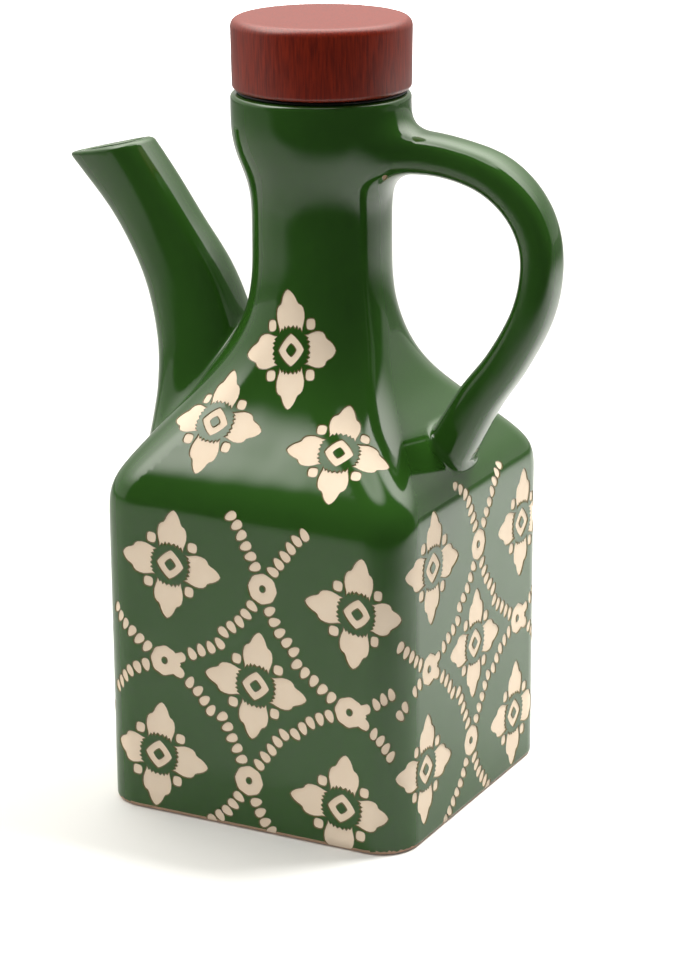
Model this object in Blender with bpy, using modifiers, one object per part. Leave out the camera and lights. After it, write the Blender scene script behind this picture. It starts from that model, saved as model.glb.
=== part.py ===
"""Ceramic oil cruet with a wooden stopper, modelled at real size in metres, +Z up.

The origin is the centre of the base on the body's axis. The front face looks along -Y,
the spout leans towards -X and the handle stands at +X.
"""

import math

import bmesh
import bpy
from mathutils import Vector

MM = 0.001

# Driving dimensions of the pot
BODY_WIDTH = 85 * MM
CORNER_SHARE = 0.24
BASE_EDGE_RADIUS = 2 * MM
SHOULDER_START = 80 * MM
SHOULDER_RADIUS = 14 * MM
SHOULDER_SLOPE = math.radians(37)
NECK_RADIUS = 17.35 * MM
NECK_START = 138 * MM
COLLAR_START = 150 * MM
COLLAR_END = 172 * MM
COLLAR_RADIUS = 22.2 * MM
RIM_HEIGHT = 178.8 * MM
RIM_EDGE_RADIUS = 1.2 * MM
WALL = 4 * MM
FLOOR_THICKNESS = 5 * MM
LEAST_FLAT = 0.25 * MM

# Spout: centre x, centre z, half thickness in the plane of the bend, half width, pointedness
SPOUT_STATIONS = (
    (-74 * MM, 173.5 * MM, 9.9 * MM, 6.2 * MM, 0.35),
    (-61.2 * MM, 160.2 * MM, 10.2 * MM, 6.6 * MM, 0.3),
    (-52.2 * MM, 149.8 * MM, 9.7 * MM, 7.3 * MM, 0.2),
    (-44.3 * MM, 138.3 * MM, 9.8 * MM, 8.2 * MM, 0.1),
    (-37.9 * MM, 127 * MM, 11.2 * MM, 9.4 * MM, 0.05),
    (-33.9 * MM, 115 * MM, 12.3 * MM, 10.8 * MM, 0),
    (-31.6 * MM, 103 * MM, 13.8 * MM, 12.4 * MM, 0),
    (-28.6 * MM, 91 * MM, 15.8 * MM, 14 * MM, 0),
    (-22 * MM, 80 * MM, 16 * MM, 14.5 * MM, 0),
)
SPOUT_WALL = 2.6 * MM
SPOUT_SQUARENESS = 2.6
MOUTH_CENTRE_X = -60.5 * MM
MOUTH_CENTRE_Z = 160.6 * MM
MOUTH_TILT = math.radians(13.5)

# Handle: centre x, centre z, thickness relative to the ellipse below
HANDLE_STATIONS = (
    (14 * MM, 165.5 * MM, 1.25),
    (26 * MM, 166 * MM, 1.1),
    (36 * MM, 165.2 * MM, 1.02),
    (47 * MM, 161.9 * MM, 1.05),
    (55.3 * MM, 154.4 * MM, 1.02),
    (59 * MM, 144 * MM, 0.97),
    (57.4 * MM, 130.5 * MM, 1.0),
    (50.6 * MM, 117 * MM, 1.03),
    (42.6 * MM, 105.8 * MM, 1.12),
    (35 * MM, 92 * MM, 1.25),
)
HANDLE_HALF_THICKNESS = 4.7 * MM
HANDLE_HALF_WIDTH = 6.3 * MM

# Stopper and its black sealing ring
GAP = 0.25 * MM
SEAL_FLANGE_THICKNESS = 0.8 * MM
SEAL_FLANGE_RADIUS = 20.9 * MM
PLUG_RADIUS = 17.7 * MM
PLUG_TIP_RADIUS = 16.9 * MM
PLUG_LENGTH = 9 * MM
PLUG_BORE_RADIUS = 6 * MM
STOPPER_RADIUS = 21.8 * MM
STOPPER_HEIGHT = 16.6 * MM
STOPPER_TOP_EDGE = 2.2 * MM
STOPPER_BOTTOM_EDGE = 1.2 * MM

# Fineness of the meshes
CORNER_STEPS = 8
ARC_STEPS = 6
TUBE_SIDES = 20
TURN_STEPS = 56


def smoothstep(x):
    """0 below 0, 1 above 1, and an even ease between."""
    x = min(max(x, 0.0), 1.0)
    return x * x * (3 - 2 * x)


def arc(centre, radius, start, end, steps):
    """Points (radius from the axis, height) along an arc, both ends included."""
    angles = [start + (end - start) * i / steps for i in range(steps + 1)]
    return [(centre[0] + radius * math.cos(a), centre[1] + radius * math.sin(a)) for a in angles]


def pot_profile(inset):
    """(half width, height) of the pot from the base edge up to the rim, moved inwards by inset."""
    half = BODY_WIDTH / 2 - inset
    shoulder_radius = SHOULDER_RADIUS - inset
    neck = NECK_RADIUS - inset
    collar = COLLAR_RADIUS - inset
    shoulder_centre = (half - shoulder_radius, SHOULDER_START)
    shoulder = arc(shoulder_centre, shoulder_radius, 0, SHOULDER_SLOPE, ARC_STEPS)
    top_x, top_z = shoulder[-1]
    spare = math.tan(SHOULDER_SLOPE) * (NECK_START - top_z) - (top_x - neck)
    sweep_radius = spare / (1 / math.cos(SHOULDER_SLOPE) - 1)
    sweep_centre = (neck + sweep_radius, NECK_START)
    sweep = arc(sweep_centre, sweep_radius, math.pi + SHOULDER_SLOPE, math.pi, 2 * ARC_STEPS)
    rise, run = COLLAR_END - COLLAR_START, collar - neck
    flare_radius = (rise**2 + run**2) / (4 * run)
    turn = math.asin(rise / (2 * flare_radius))
    lower = arc((neck + flare_radius, COLLAR_START), flare_radius, math.pi, math.pi - turn, ARC_STEPS)
    upper = arc((collar - flare_radius, COLLAR_END), flare_radius, -turn, 0, ARC_STEPS)
    return shoulder + sweep + lower + upper[1:]


def corner_radius(half, height):
    """Corner radius of the pot's section: a rounded square below that turns round at the neck."""
    share = CORNER_SHARE + (1 - CORNER_SHARE) * smoothstep((height - 84 * MM) / (46 * MM))
    return min(half * share, half - LEAST_FLAT)


def rounded_square(half, radius, height):
    """One ring of points anticlockwise round a rounded square."""
    inner = half - radius
    ring = []
    for quarter in range(4):
        turn = quarter * math.pi / 2
        for step in range(CORNER_STEPS + 1):
            angle = turn + step * math.pi / 2 / CORNER_STEPS
            sign_x = 1 if quarter in (0, 3) else -1
            sign_y = 1 if quarter in (0, 1) else -1
            x = sign_x * inner + radius * math.cos(angle)
            y = sign_y * inner + radius * math.sin(angle)
            ring.append((x, y, height))
    return ring


def loft(name, rings):
    """A closed mesh object through rings of equal length, from the lowest ring up."""
    mesh = bpy.data.meshes.new(name)
    builder = bmesh.new()
    made = [[builder.verts.new(point) for point in ring] for ring in rings]
    count = len(made[0])
    for low, high in zip(made, made[1:]):
        for i in range(count):
            j = (i + 1) % count
            builder.faces.new((low[i], low[j], high[j], high[i]))
    builder.faces.new(reversed(made[0]))
    builder.faces.new(made[-1])
    bmesh.ops.recalc_face_normals(builder, faces=builder.faces)
    builder.to_mesh(mesh)
    builder.free()
    return bpy.data.objects.new(name, mesh)


def pot_rings(inset, bottom, edge_radius, rim):
    """Rings of the pot's body: the base edge, the wall, the shoulder, the neck and the collar."""
    half = BODY_WIDTH / 2 - inset
    low = arc((half - edge_radius, bottom + edge_radius), edge_radius, -math.pi / 2, 0, 4)
    rings = [rounded_square(x, x - half * (1 - CORNER_SHARE), z) for x, z in low]
    rings += [rounded_square(x, corner_radius(x, z), z) for x, z in pot_profile(inset)]
    return rings + [rounded_square(x, x - LEAST_FLAT, z) for x, z in rim]


def catmull_rom(stations, steps):
    """Smooth values through the stations, with steps samples between each neighbouring pair."""
    count = len(stations)
    samples = []
    for i in range(count - 1):
        before, start, end, after = (stations[min(max(i + k, 0), count - 1)] for k in (-1, 0, 1, 2))
        for step in range(steps):
            t = step / steps
            samples.append(tuple(
                0.5 * (2 * b + (c - a) * t + (2 * a - 5 * b + 4 * c - d) * t**2 + (3 * b - a - 3 * c + d) * t**3)
                for a, b, c, d in zip(before, start, end, after)
            ))
    return samples + [tuple(stations[-1])]


def superellipse(half_u, half_v, power, sides):
    """Points (u, v) round a superellipse."""
    points = []
    for i in range(sides):
        c, s = math.cos(2 * math.pi * i / sides), math.sin(2 * math.pi * i / sides)
        u = math.copysign(abs(c) ** (2 / power), c) * half_u
        v = math.copysign(abs(s) ** (2 / power), s) * half_v
        points.append((u, v))
    return points


def spout_tube(name, inset):
    """The spout as a solid tube along its stations, made smaller all round by inset."""
    path = catmull_rom(SPOUT_STATIONS, 3)
    rings = []
    for i, (x, z, half_u, half_v, pointed) in enumerate(path):
        ahead, behind = path[min(i + 1, len(path) - 1)], path[max(i - 1, 0)]
        along = Vector((ahead[0] - behind[0], 0, ahead[1] - behind[1])).normalized()
        across = Vector((along.z, 0, -along.x))
        outline = superellipse(half_u - inset, half_v - inset, SPOUT_SQUARENESS, TUBE_SIDES)
        rings.append([
            Vector((x, v * (1 - pointed * u / half_u), z)) + u * across for u, v in outline
        ])
    return loft(name, rings)


def mouth_cutter():
    """A block above the sloping plane of the spout's mouth."""
    size = 60 * MM
    bpy.ops.mesh.primitive_cube_add(size=size)
    block = bpy.context.object
    block.name = "mouth_cutter"
    block.rotation_euler = (0, -MOUTH_TILT, 0)
    lift = Vector((-math.sin(MOUTH_TILT), 0, math.cos(MOUTH_TILT))) * size / 2
    block.location = Vector((MOUTH_CENTRE_X, 0, MOUTH_CENTRE_Z)) + lift
    return block


def handle_blank(collection):
    """The handle, an oval rail bent in the plane of the spout, as a closed mesh."""
    section = bpy.data.curves.new("handle_section", "CURVE")
    oval = section.splines.new("POLY")
    outline = superellipse(HANDLE_HALF_THICKNESS, HANDLE_HALF_WIDTH, 2.3, 16)
    oval.points.add(len(outline) - 1)
    for point, (u, v) in zip(oval.points, outline):
        point.co = (v, u, 0, 1)
    oval.use_cyclic_u = True
    section_object = bpy.data.objects.new("handle_section", section)
    collection.objects.link(section_object)

    curve = bpy.data.curves.new("handle_path", "CURVE")
    curve.dimensions = "3D"
    rail = curve.splines.new("POLY")
    path = catmull_rom(HANDLE_STATIONS, 4)
    rail.points.add(len(path) - 1)
    for point, (x, z, thickness) in zip(rail.points, path):
        point.co = (x, 0, z, 1)
        point.radius = thickness
    curve.bevel_mode = "OBJECT"
    curve.bevel_object = section_object
    curve.use_fill_caps = True
    curve.twist_mode = "MINIMUM"
    rail_object = bpy.data.objects.new("handle_path", curve)
    collection.objects.link(rail_object)
    bpy.context.view_layer.update()
    evaluated = rail_object.evaluated_get(bpy.context.evaluated_depsgraph_get())
    mesh = bpy.data.meshes.new_from_object(evaluated)
    builder = bmesh.new()
    builder.from_mesh(mesh)
    bmesh.ops.remove_doubles(builder, verts=builder.verts, dist=0.00001)
    bmesh.ops.recalc_face_normals(builder, faces=builder.faces)
    builder.to_mesh(mesh)
    builder.free()
    blank = bpy.data.objects.new("handle_blank", mesh)
    blank.matrix_world = rail_object.matrix_world
    bpy.data.objects.remove(rail_object)
    bpy.data.objects.remove(section_object)
    return blank


def turned(name, profile, collection):
    """A solid turned round the axis from a profile of (radius, height), outer side running down."""
    mesh = bpy.data.meshes.new(name)
    mesh.from_pydata([(x, 0, z) for x, z in profile], [(i, i + 1) for i in range(len(profile) - 1)], [])
    thing = bpy.data.objects.new(name, mesh)
    collection.objects.link(thing)
    screw = thing.modifiers.new("turn", "SCREW")
    screw.steps = screw.render_steps = TURN_STEPS
    screw.use_merge_vertices = True
    screw.merge_threshold = 0.00001
    return thing


def material(name, colour, roughness, metallic=0.0):
    """A Principled material of one colour."""
    finish = bpy.data.materials.new(name)
    finish.use_nodes = True
    shader = finish.node_tree.nodes["Principled BSDF"]
    shader.inputs["Base Color"].default_value = (*colour, 1)
    shader.inputs["Roughness"].default_value = roughness
    shader.inputs["Metallic"].default_value = metallic
    return finish


def add_boolean(target, operation, other):
    """Cuts or joins another closed mesh."""
    step = target.modifiers.new(other.name, "BOOLEAN")
    step.operation = operation
    step.object = other
    step.solver = "EXACT"


def hide(helper, collection):
    """Keeps a cutter or a blank as a wire helper, out of the finished part."""
    for other in list(helper.users_collection):
        other.objects.unlink(helper)
    collection.objects.link(helper)
    helper.hide_render = True
    helper.display_type = "WIRE"


def build_cruet(parts, helpers):
    """The pot: body, spout and handle in one piece of hollow ceramic."""
    edge = RIM_EDGE_RADIUS
    rim = arc((COLLAR_RADIUS - edge, RIM_HEIGHT - edge), edge, 0, math.pi / 2, 4)
    pot = loft("cruet", pot_rings(0, 0, BASE_EDGE_RADIUS, rim))
    parts.objects.link(pot)
    bore = [(COLLAR_RADIUS - WALL, RIM_HEIGHT - edge), (COLLAR_RADIUS - WALL + edge, RIM_HEIGHT + edge)]
    blanks = {
        "spout": spout_tube("spout_blank", 0),
        "handle": handle_blank(helpers),
        "hollow": loft("hollow", pot_rings(WALL, FLOOR_THICKNESS, BASE_EDGE_RADIUS, bore)),
        "channel": spout_tube("spout_channel", SPOUT_WALL),
        "mouth": mouth_cutter(),
    }
    for blank in blanks.values():
        hide(blank, helpers)
    add_boolean(blanks["spout"], "DIFFERENCE", blanks["mouth"])
    add_boolean(pot, "UNION", blanks["spout"])
    add_boolean(pot, "UNION", blanks["handle"])
    add_boolean(pot, "DIFFERENCE", blanks["hollow"])
    add_boolean(pot, "DIFFERENCE", blanks["channel"])
    pot.data.materials.append(material("green_glaze", (0.02, 0.09, 0.02), 0.12))
    return pot


def build_seal(parts):
    """The black sealing ring: a flange between rim and stopper, and a hollow tapered plug in the bore."""
    low = RIM_HEIGHT + GAP
    high = low + SEAL_FLANGE_THICKNESS
    profile = [
        (PLUG_BORE_RADIUS, high),
        (SEAL_FLANGE_RADIUS - 0.3 * MM, high),
        (SEAL_FLANGE_RADIUS, high - 0.3 * MM),
        (SEAL_FLANGE_RADIUS, low),
        (PLUG_RADIUS, low),
        (PLUG_RADIUS, low - 2 * MM),
        (PLUG_RADIUS - 0.6 * MM, low - 2.5 * MM),
        (PLUG_RADIUS - 0.1 * MM, low - 3 * MM),
        (PLUG_RADIUS - 0.2 * MM, low - 5 * MM),
        (PLUG_RADIUS - 0.8 * MM, low - 5.5 * MM),
        (PLUG_TIP_RADIUS + 0.4 * MM, low - 6 * MM),
        (PLUG_TIP_RADIUS, low - PLUG_LENGTH),
        (PLUG_BORE_RADIUS, low - PLUG_LENGTH),
        (PLUG_BORE_RADIUS, high),
    ]
    seal = turned("seal", profile, parts)
    seal.data.materials.append(material("black_silicone", (0.01, 0.01, 0.01), 0.5))
    return seal


def build_stopper(parts):
    """The turned wooden stopper with softened edges."""
    low = RIM_HEIGHT + 2 * GAP + SEAL_FLANGE_THICKNESS
    high = low + STOPPER_HEIGHT
    top, bottom = STOPPER_TOP_EDGE, STOPPER_BOTTOM_EDGE
    profile = [(0, high)]
    profile += arc((STOPPER_RADIUS - top, high - top), top, math.pi / 2, 0, 5)
    profile += arc((STOPPER_RADIUS - 0.2 * MM - bottom, low + bottom), bottom, 0, -math.pi / 2, 3)
    profile += [(0, low)]
    stopper = turned("stopper", profile, parts)
    stopper.data.materials.append(material("red_brown_wood", (0.2, 0.035, 0.012), 0.45))
    return stopper


def shade(thing):
    """Smooth shading that keeps the real edges sharp."""
    thing.data.shade_smooth()
    thing.data.set_sharp_from_angle(angle=math.radians(35))


def main():
    """Clears the scene and builds the three pieces."""
    for old in list(bpy.data.objects):
        bpy.data.objects.remove(old)
    parts = bpy.data.collections.new("oil_cruet")
    helpers = bpy.data.collections.new("oil_cruet_helpers")
    for collection in (parts, helpers):
        bpy.context.scene.collection.children.link(collection)
    for piece in (build_cruet(parts, helpers), build_seal(parts), build_stopper(parts)):
        shade(piece)


main()
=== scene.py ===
"""A square green-glazed ceramic oil cruet with a turned wooden stopper, in a plain studio.

The pot is one continuous glazed surface: body, spout and handle are written as distance rules,
joined with soft fillets, hollowed, and meshed on their common surface. The ornament is cut into the
glaze down to the bare clay. Sizes in the classes are millimetres; meshes are made in metres.
"""
from __future__ import annotations

import logging
import math
import random
from dataclasses import dataclass
from enum import IntEnum
from typing import Iterable, Sequence

import bmesh
import bpy
import numpy as np
from mathutils import Matrix, Vector
from mathutils.geometry import delaunay_2d_cdt

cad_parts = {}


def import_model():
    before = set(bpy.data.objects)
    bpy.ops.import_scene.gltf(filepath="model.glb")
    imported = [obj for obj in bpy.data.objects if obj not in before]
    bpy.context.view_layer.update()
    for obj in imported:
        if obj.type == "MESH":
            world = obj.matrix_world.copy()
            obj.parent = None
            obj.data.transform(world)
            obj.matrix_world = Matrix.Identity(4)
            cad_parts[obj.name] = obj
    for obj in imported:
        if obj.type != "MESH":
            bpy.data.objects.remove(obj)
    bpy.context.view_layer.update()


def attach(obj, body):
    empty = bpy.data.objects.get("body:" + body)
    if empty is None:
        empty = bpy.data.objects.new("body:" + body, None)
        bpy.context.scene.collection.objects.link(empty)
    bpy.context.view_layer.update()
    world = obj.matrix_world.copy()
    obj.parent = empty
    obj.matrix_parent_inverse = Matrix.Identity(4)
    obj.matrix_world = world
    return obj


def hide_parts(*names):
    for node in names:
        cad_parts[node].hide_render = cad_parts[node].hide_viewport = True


LOG = logging.getLogger("cruet")
MM = 0.001

Point2 = tuple[float, float]
Point3 = tuple[float, float, float]
Colour = tuple[float, float, float, float]


# Small helpers


def smoothstep(x: np.ndarray) -> np.ndarray:
    """0 below 0, 1 above 1, and an even ease between."""
    x = np.clip(x, 0.0, 1.0)
    return x * x * (3 - 2 * x)


def soft_min(a: np.ndarray, b: np.ndarray, reach: np.ndarray | float) -> np.ndarray:
    """The smaller of two distances, rounded where they cross.

    Args:
        a: First distance, mm.
        b: Second distance, mm.
        reach: How far from the crossing the rounding starts, mm.

    Returns:
        The blended distance.
    """
    share = np.clip(0.5 + 0.5 * (b - a) / reach, 0.0, 1.0)
    return b * (1 - share) + a * share - reach * share * (1 - share)


def round_max(a: np.ndarray, b: np.ndarray, radius: float) -> np.ndarray:
    """The larger of two distances, with a true circular edge of the given radius."""
    over = np.hypot(np.maximum(a + radius, 0), np.maximum(b + radius, 0))
    return np.minimum(np.maximum(a, b), -radius) + over


def smoothed(values: np.ndarray, width: float) -> np.ndarray:
    """Values smoothed by a bell, with the ends held.

    Args:
        values: Evenly spaced values.
        width: Width of the bell, in samples.

    Returns:
        As many smoothed values.
    """
    reach = int(math.ceil(3 * width))
    bell = np.exp(-0.5 * (np.arange(-reach, reach + 1) / width) ** 2)
    before, after = values[reach:0:-1], values[-2:-reach - 2:-1]
    padded = np.concatenate([2 * values[0] - before, values, 2 * values[-1] - after])
    return np.convolve(padded, bell / bell.sum(), "valid")


def linked(name: str, mesh: bpy.types.Mesh) -> bpy.types.Object:
    """A mesh as an object in the scene.

    Args:
        name: The object's name.
        mesh: Its mesh.

    Returns:
        The object, at the origin.
    """
    made = bpy.data.objects.new(name, mesh)
    bpy.context.scene.collection.objects.link(made)
    return made


def mesh_object(name: str, vertices: np.ndarray, faces: Sequence[Sequence[int]]) -> bpy.types.Object:
    """A mesh object from points and faces.

    Args:
        name: Its name.
        vertices: Points, mm.
        faces: Point numbers of each face, anticlockwise from outside.

    Returns:
        The object.
    """
    mesh = bpy.data.meshes.new(name)
    mesh.from_pydata((vertices * MM).tolist(), [], faces)
    mesh.update()
    return linked(name, mesh)


def values_of(items: bpy.types.bpy_prop_collection, name: str, width: int, kind: type = float) -> np.ndarray:
    """One property of every item of a mesh.

    Args:
        items: Vertices, loops, polygons or an attribute's data.
        name: The property.
        width: Numbers in each item.
        kind: Type of the numbers.

    Returns:
        The numbers, in rows of width where that is more than one.
    """
    found = np.zeros(len(items) * width, kind)
    items.foreach_get(name, found)
    return found.reshape(-1, width) if width > 1 else found


def srgb(code: str) -> Colour:
    """A linear colour.

    Args:
        code: sRGB hex code such as '#1D3A18'.

    Returns:
        Red, green, blue and alpha.
    """
    parts = [int(code[i:i + 2], 16) / 255 for i in (1, 3, 5)]
    linear = [c / 12.92 if c <= 0.04045 else ((c + 0.055) / 1.055) ** 2.4 for c in parts]
    return (linear[0], linear[1], linear[2], 1.0)


def add_node(tree: bpy.types.NodeTree, kind: str, settings: dict | None = None,
             links: dict | None = None) -> bpy.types.Node:
    """Adds one node.

    Args:
        tree: The tree that the node goes into.
        kind: The node's type name.
        settings: Socket values by socket name or index, and plain properties by name.
        links: Source sockets by the name or index of the input that each one feeds.

    Returns:
        The new node.
    """
    node = tree.nodes.new(kind)
    for key, value in (settings or {}).items():
        if isinstance(key, str) and hasattr(node, key):
            setattr(node, key, value)
        else:
            node.inputs[key].default_value = value
    for key, source in (links or {}).items():
        tree.links.new(source, node.inputs[key])
    return node


# The pot's shape


@dataclass(frozen=True)
class PotBody:
    """The square body, concave shoulder, round neck and collar, as the solid has them, in mm.

    Args:
        width: Across the body's flats.
        corner_share: Radius of its upright corners as a share of the half width.
        base_edge: Radius round the base.
        shoulder_start: Height where the faces start to bend in.
        shoulder_radius: Radius of that bend.
        shoulder_slope: Turn of that bend, radians.
        neck_radius: Radius of the straight neck.
        neck_start: Height where the shoulder's sweep reaches it.
        collar_start: Height where it starts to flare.
        collar_end: Height where the flare has become the collar.
        collar_radius: Radius of the collar.
        rim_height: Height of the rim.
        rim_edge: Radius round the rim.
        round_from: Height where the square starts to turn round.
        round_over: Height over which it does.
        soft: Width over which the glaze softens the outline.
        step: Spacing of the outline's samples.
    """

    width: float = 85.0
    corner_share: float = 0.24
    base_edge: float = 1.3
    shoulder_start: float = 80.0
    shoulder_radius: float = 14.0
    shoulder_slope: float = math.radians(37)
    neck_radius: float = 17.35
    neck_start: float = 138.0
    collar_start: float = 150.0
    collar_end: float = 172.0
    collar_radius: float = 22.2
    rim_height: float = 178.8
    rim_edge: float = 1.2
    round_from: float = 84.0
    round_over: float = 46.0
    soft: float = 2.1
    step: float = 0.1

    @property
    def half(self) -> float:
        """Half of the body's width."""
        return self.width / 2

    @property
    def flat_half(self) -> float:
        """Half of the flat part of each face, between its rounded corners."""
        return self.half * (1 - self.corner_share)

    @property
    def corner(self) -> float:
        """Radius of the body's upright corners."""
        return self.half * self.corner_share

    def profile(self) -> tuple[np.ndarray, np.ndarray]:
        """The pot's outline from below its base to above its rim.

        Returns:
            Heights, and the half width at each.
        """
        z = np.arange(-20.0, 220.0, self.step)
        top_x = self.half - self.shoulder_radius * (1 - math.cos(self.shoulder_slope))
        top_z = self.shoulder_start + self.shoulder_radius * math.sin(self.shoulder_slope)
        spare = math.tan(self.shoulder_slope) * (self.neck_start - top_z) - (top_x - self.neck_radius)
        sweep = spare / (1 / math.cos(self.shoulder_slope) - 1)
        rise, run = self.collar_end - self.collar_start, self.collar_radius - self.neck_radius
        flare = (rise**2 + run**2) / (4 * run)
        middle = (self.collar_start + self.collar_end) / 2

        def bulge(radius: float, away: np.ndarray) -> np.ndarray:
            """Drop of a circle at a distance along its tangent."""
            return radius - np.sqrt(np.maximum(radius**2 - away**2, 0))

        half = np.full_like(z, self.half)
        half = np.where(z > self.shoulder_start,
                        self.half - bulge(self.shoulder_radius, z - self.shoulder_start), half)
        half = np.where(z > top_z, top_x - math.tan(self.shoulder_slope) * (z - top_z), half)
        sweep_start = self.neck_start - sweep * math.sin(self.shoulder_slope)
        half = np.where(z > sweep_start, self.neck_radius + bulge(sweep, self.neck_start - z), half)
        half = np.where(z > self.neck_start, self.neck_radius, half)
        half = np.where(z > self.collar_start, self.neck_radius + bulge(flare, z - self.collar_start), half)
        half = np.where(z > middle, self.collar_radius - bulge(flare, self.collar_end - z), half)
        half = np.where(z > self.collar_end, self.collar_radius, half)
        return z, smoothed(half, self.soft / self.step)

    def lean(self, z: np.ndarray) -> np.ndarray:
        """Sideways drift of the hand-made shoulder and neck at each height."""
        shoulder = -1.2 * np.exp(-(((z - 110) / 11) ** 2)) + 0.45 * np.exp(-(((z - 87) / 6) ** 2))
        return shoulder - 0.3 * smoothstep((z - 112) / 20)


class Rail:
    """A tube of superellipse section swept along stations in the upright plane of spout and handle."""

    def __init__(self, stations: Sequence[Sequence[float]], squareness: float, samples: int = 360,
                 softening: float = 6.0) -> None:
        """Samples the route evenly and softens it.

        Args:
            stations: x, z, half thickness in the plane, half width and pointedness at each station.
            squareness: The superellipse's power.
            samples: Number of samples along the route.
            softening: Width of the smoothing bell, in samples.
        """
        self.squareness = squareness
        fine = np.array(self._curve(stations, 40))
        run = np.concatenate([[0], np.cumsum(np.hypot(*np.diff(fine[:, :2], axis=0).T))])
        even = np.linspace(0, run[-1], samples)
        table = np.stack([np.interp(even, run, column) for column in fine.T], 1)
        self.table = np.stack([smoothed(column, softening) for column in table.T], 1)
        self.spacing = run[-1] / (samples - 1)
        along = np.gradient(self.table[:, :2], axis=0)
        self.along = along / np.linalg.norm(along, axis=1)[:, None]

    @staticmethod
    def _curve(stations: Sequence[Sequence[float]], steps: int) -> list[tuple[float, ...]]:
        """A smooth curve through the stations.

        Args:
            stations: Values at each station.
            steps: Samples between one station and the next.

        Returns:
            Values at each sample.
        """
        count = len(stations)
        rows: list[tuple[float, ...]] = []
        for i in range(count - 1):
            before, start, end, after = (stations[min(max(i + k, 0), count - 1)] for k in (-1, 0, 1, 2))
            for step in range(steps):
                t = step / steps
                rows.append(tuple(
                    0.5 * (2 * b + (c - a) * t + (2 * a - 5 * b + 4 * c - d) * t**2
                           + (3 * b - a - 3 * c + d) * t**3)
                    for a, b, c, d in zip(before, start, end, after)))
        return rows + [tuple(stations[-1])]

    def distance(self, points: np.ndarray, inset: float = 0.0) -> np.ndarray:
        """Approximate distance to the tube's surface.

        Args:
            points: Where to measure, mm.
            inset: How much thinner the tube is made on all sides, mm.

        Returns:
            Distances, negative inside.
        """
        flat = points[:, (0, 2)]
        route = self.table[:, :2]
        nearest = np.empty(len(points), int)
        for start in range(0, len(points), 40000):
            part = flat[start:start + 40000]
            nearest[start:start + 40000] = ((route**2).sum(1) - 2 * part @ route.T).argmin(1)
        offset = flat - route[nearest]
        exact = nearest + (offset * self.along[nearest]).sum(1) / self.spacing
        beyond = np.maximum(np.maximum(-exact, exact - (len(route) - 1)), 0) * self.spacing
        index = np.arange(len(route))
        x, z, half_u, half_v, pointed = (np.interp(exact, index, column) for column in self.table.T)
        along_x, along_z = (np.interp(exact, index, column) for column in self.along.T)
        u = (flat[:, 0] - x) * along_z - (flat[:, 1] - z) * along_x
        half_u, half_v = half_u - inset, half_v - inset
        v = points[:, 1] / np.maximum(1 - pointed * u / half_u, 0.2)
        gauge = (np.abs(u / half_u) ** self.squareness + np.abs(v / half_v) ** self.squareness)
        gauge = np.maximum(gauge ** (1 / self.squareness), 1e-4)
        side = np.hypot(u, v) * (1 - 1 / gauge)
        return np.where(beyond > 0, np.hypot(np.maximum(side, 0), beyond), side)


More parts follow.
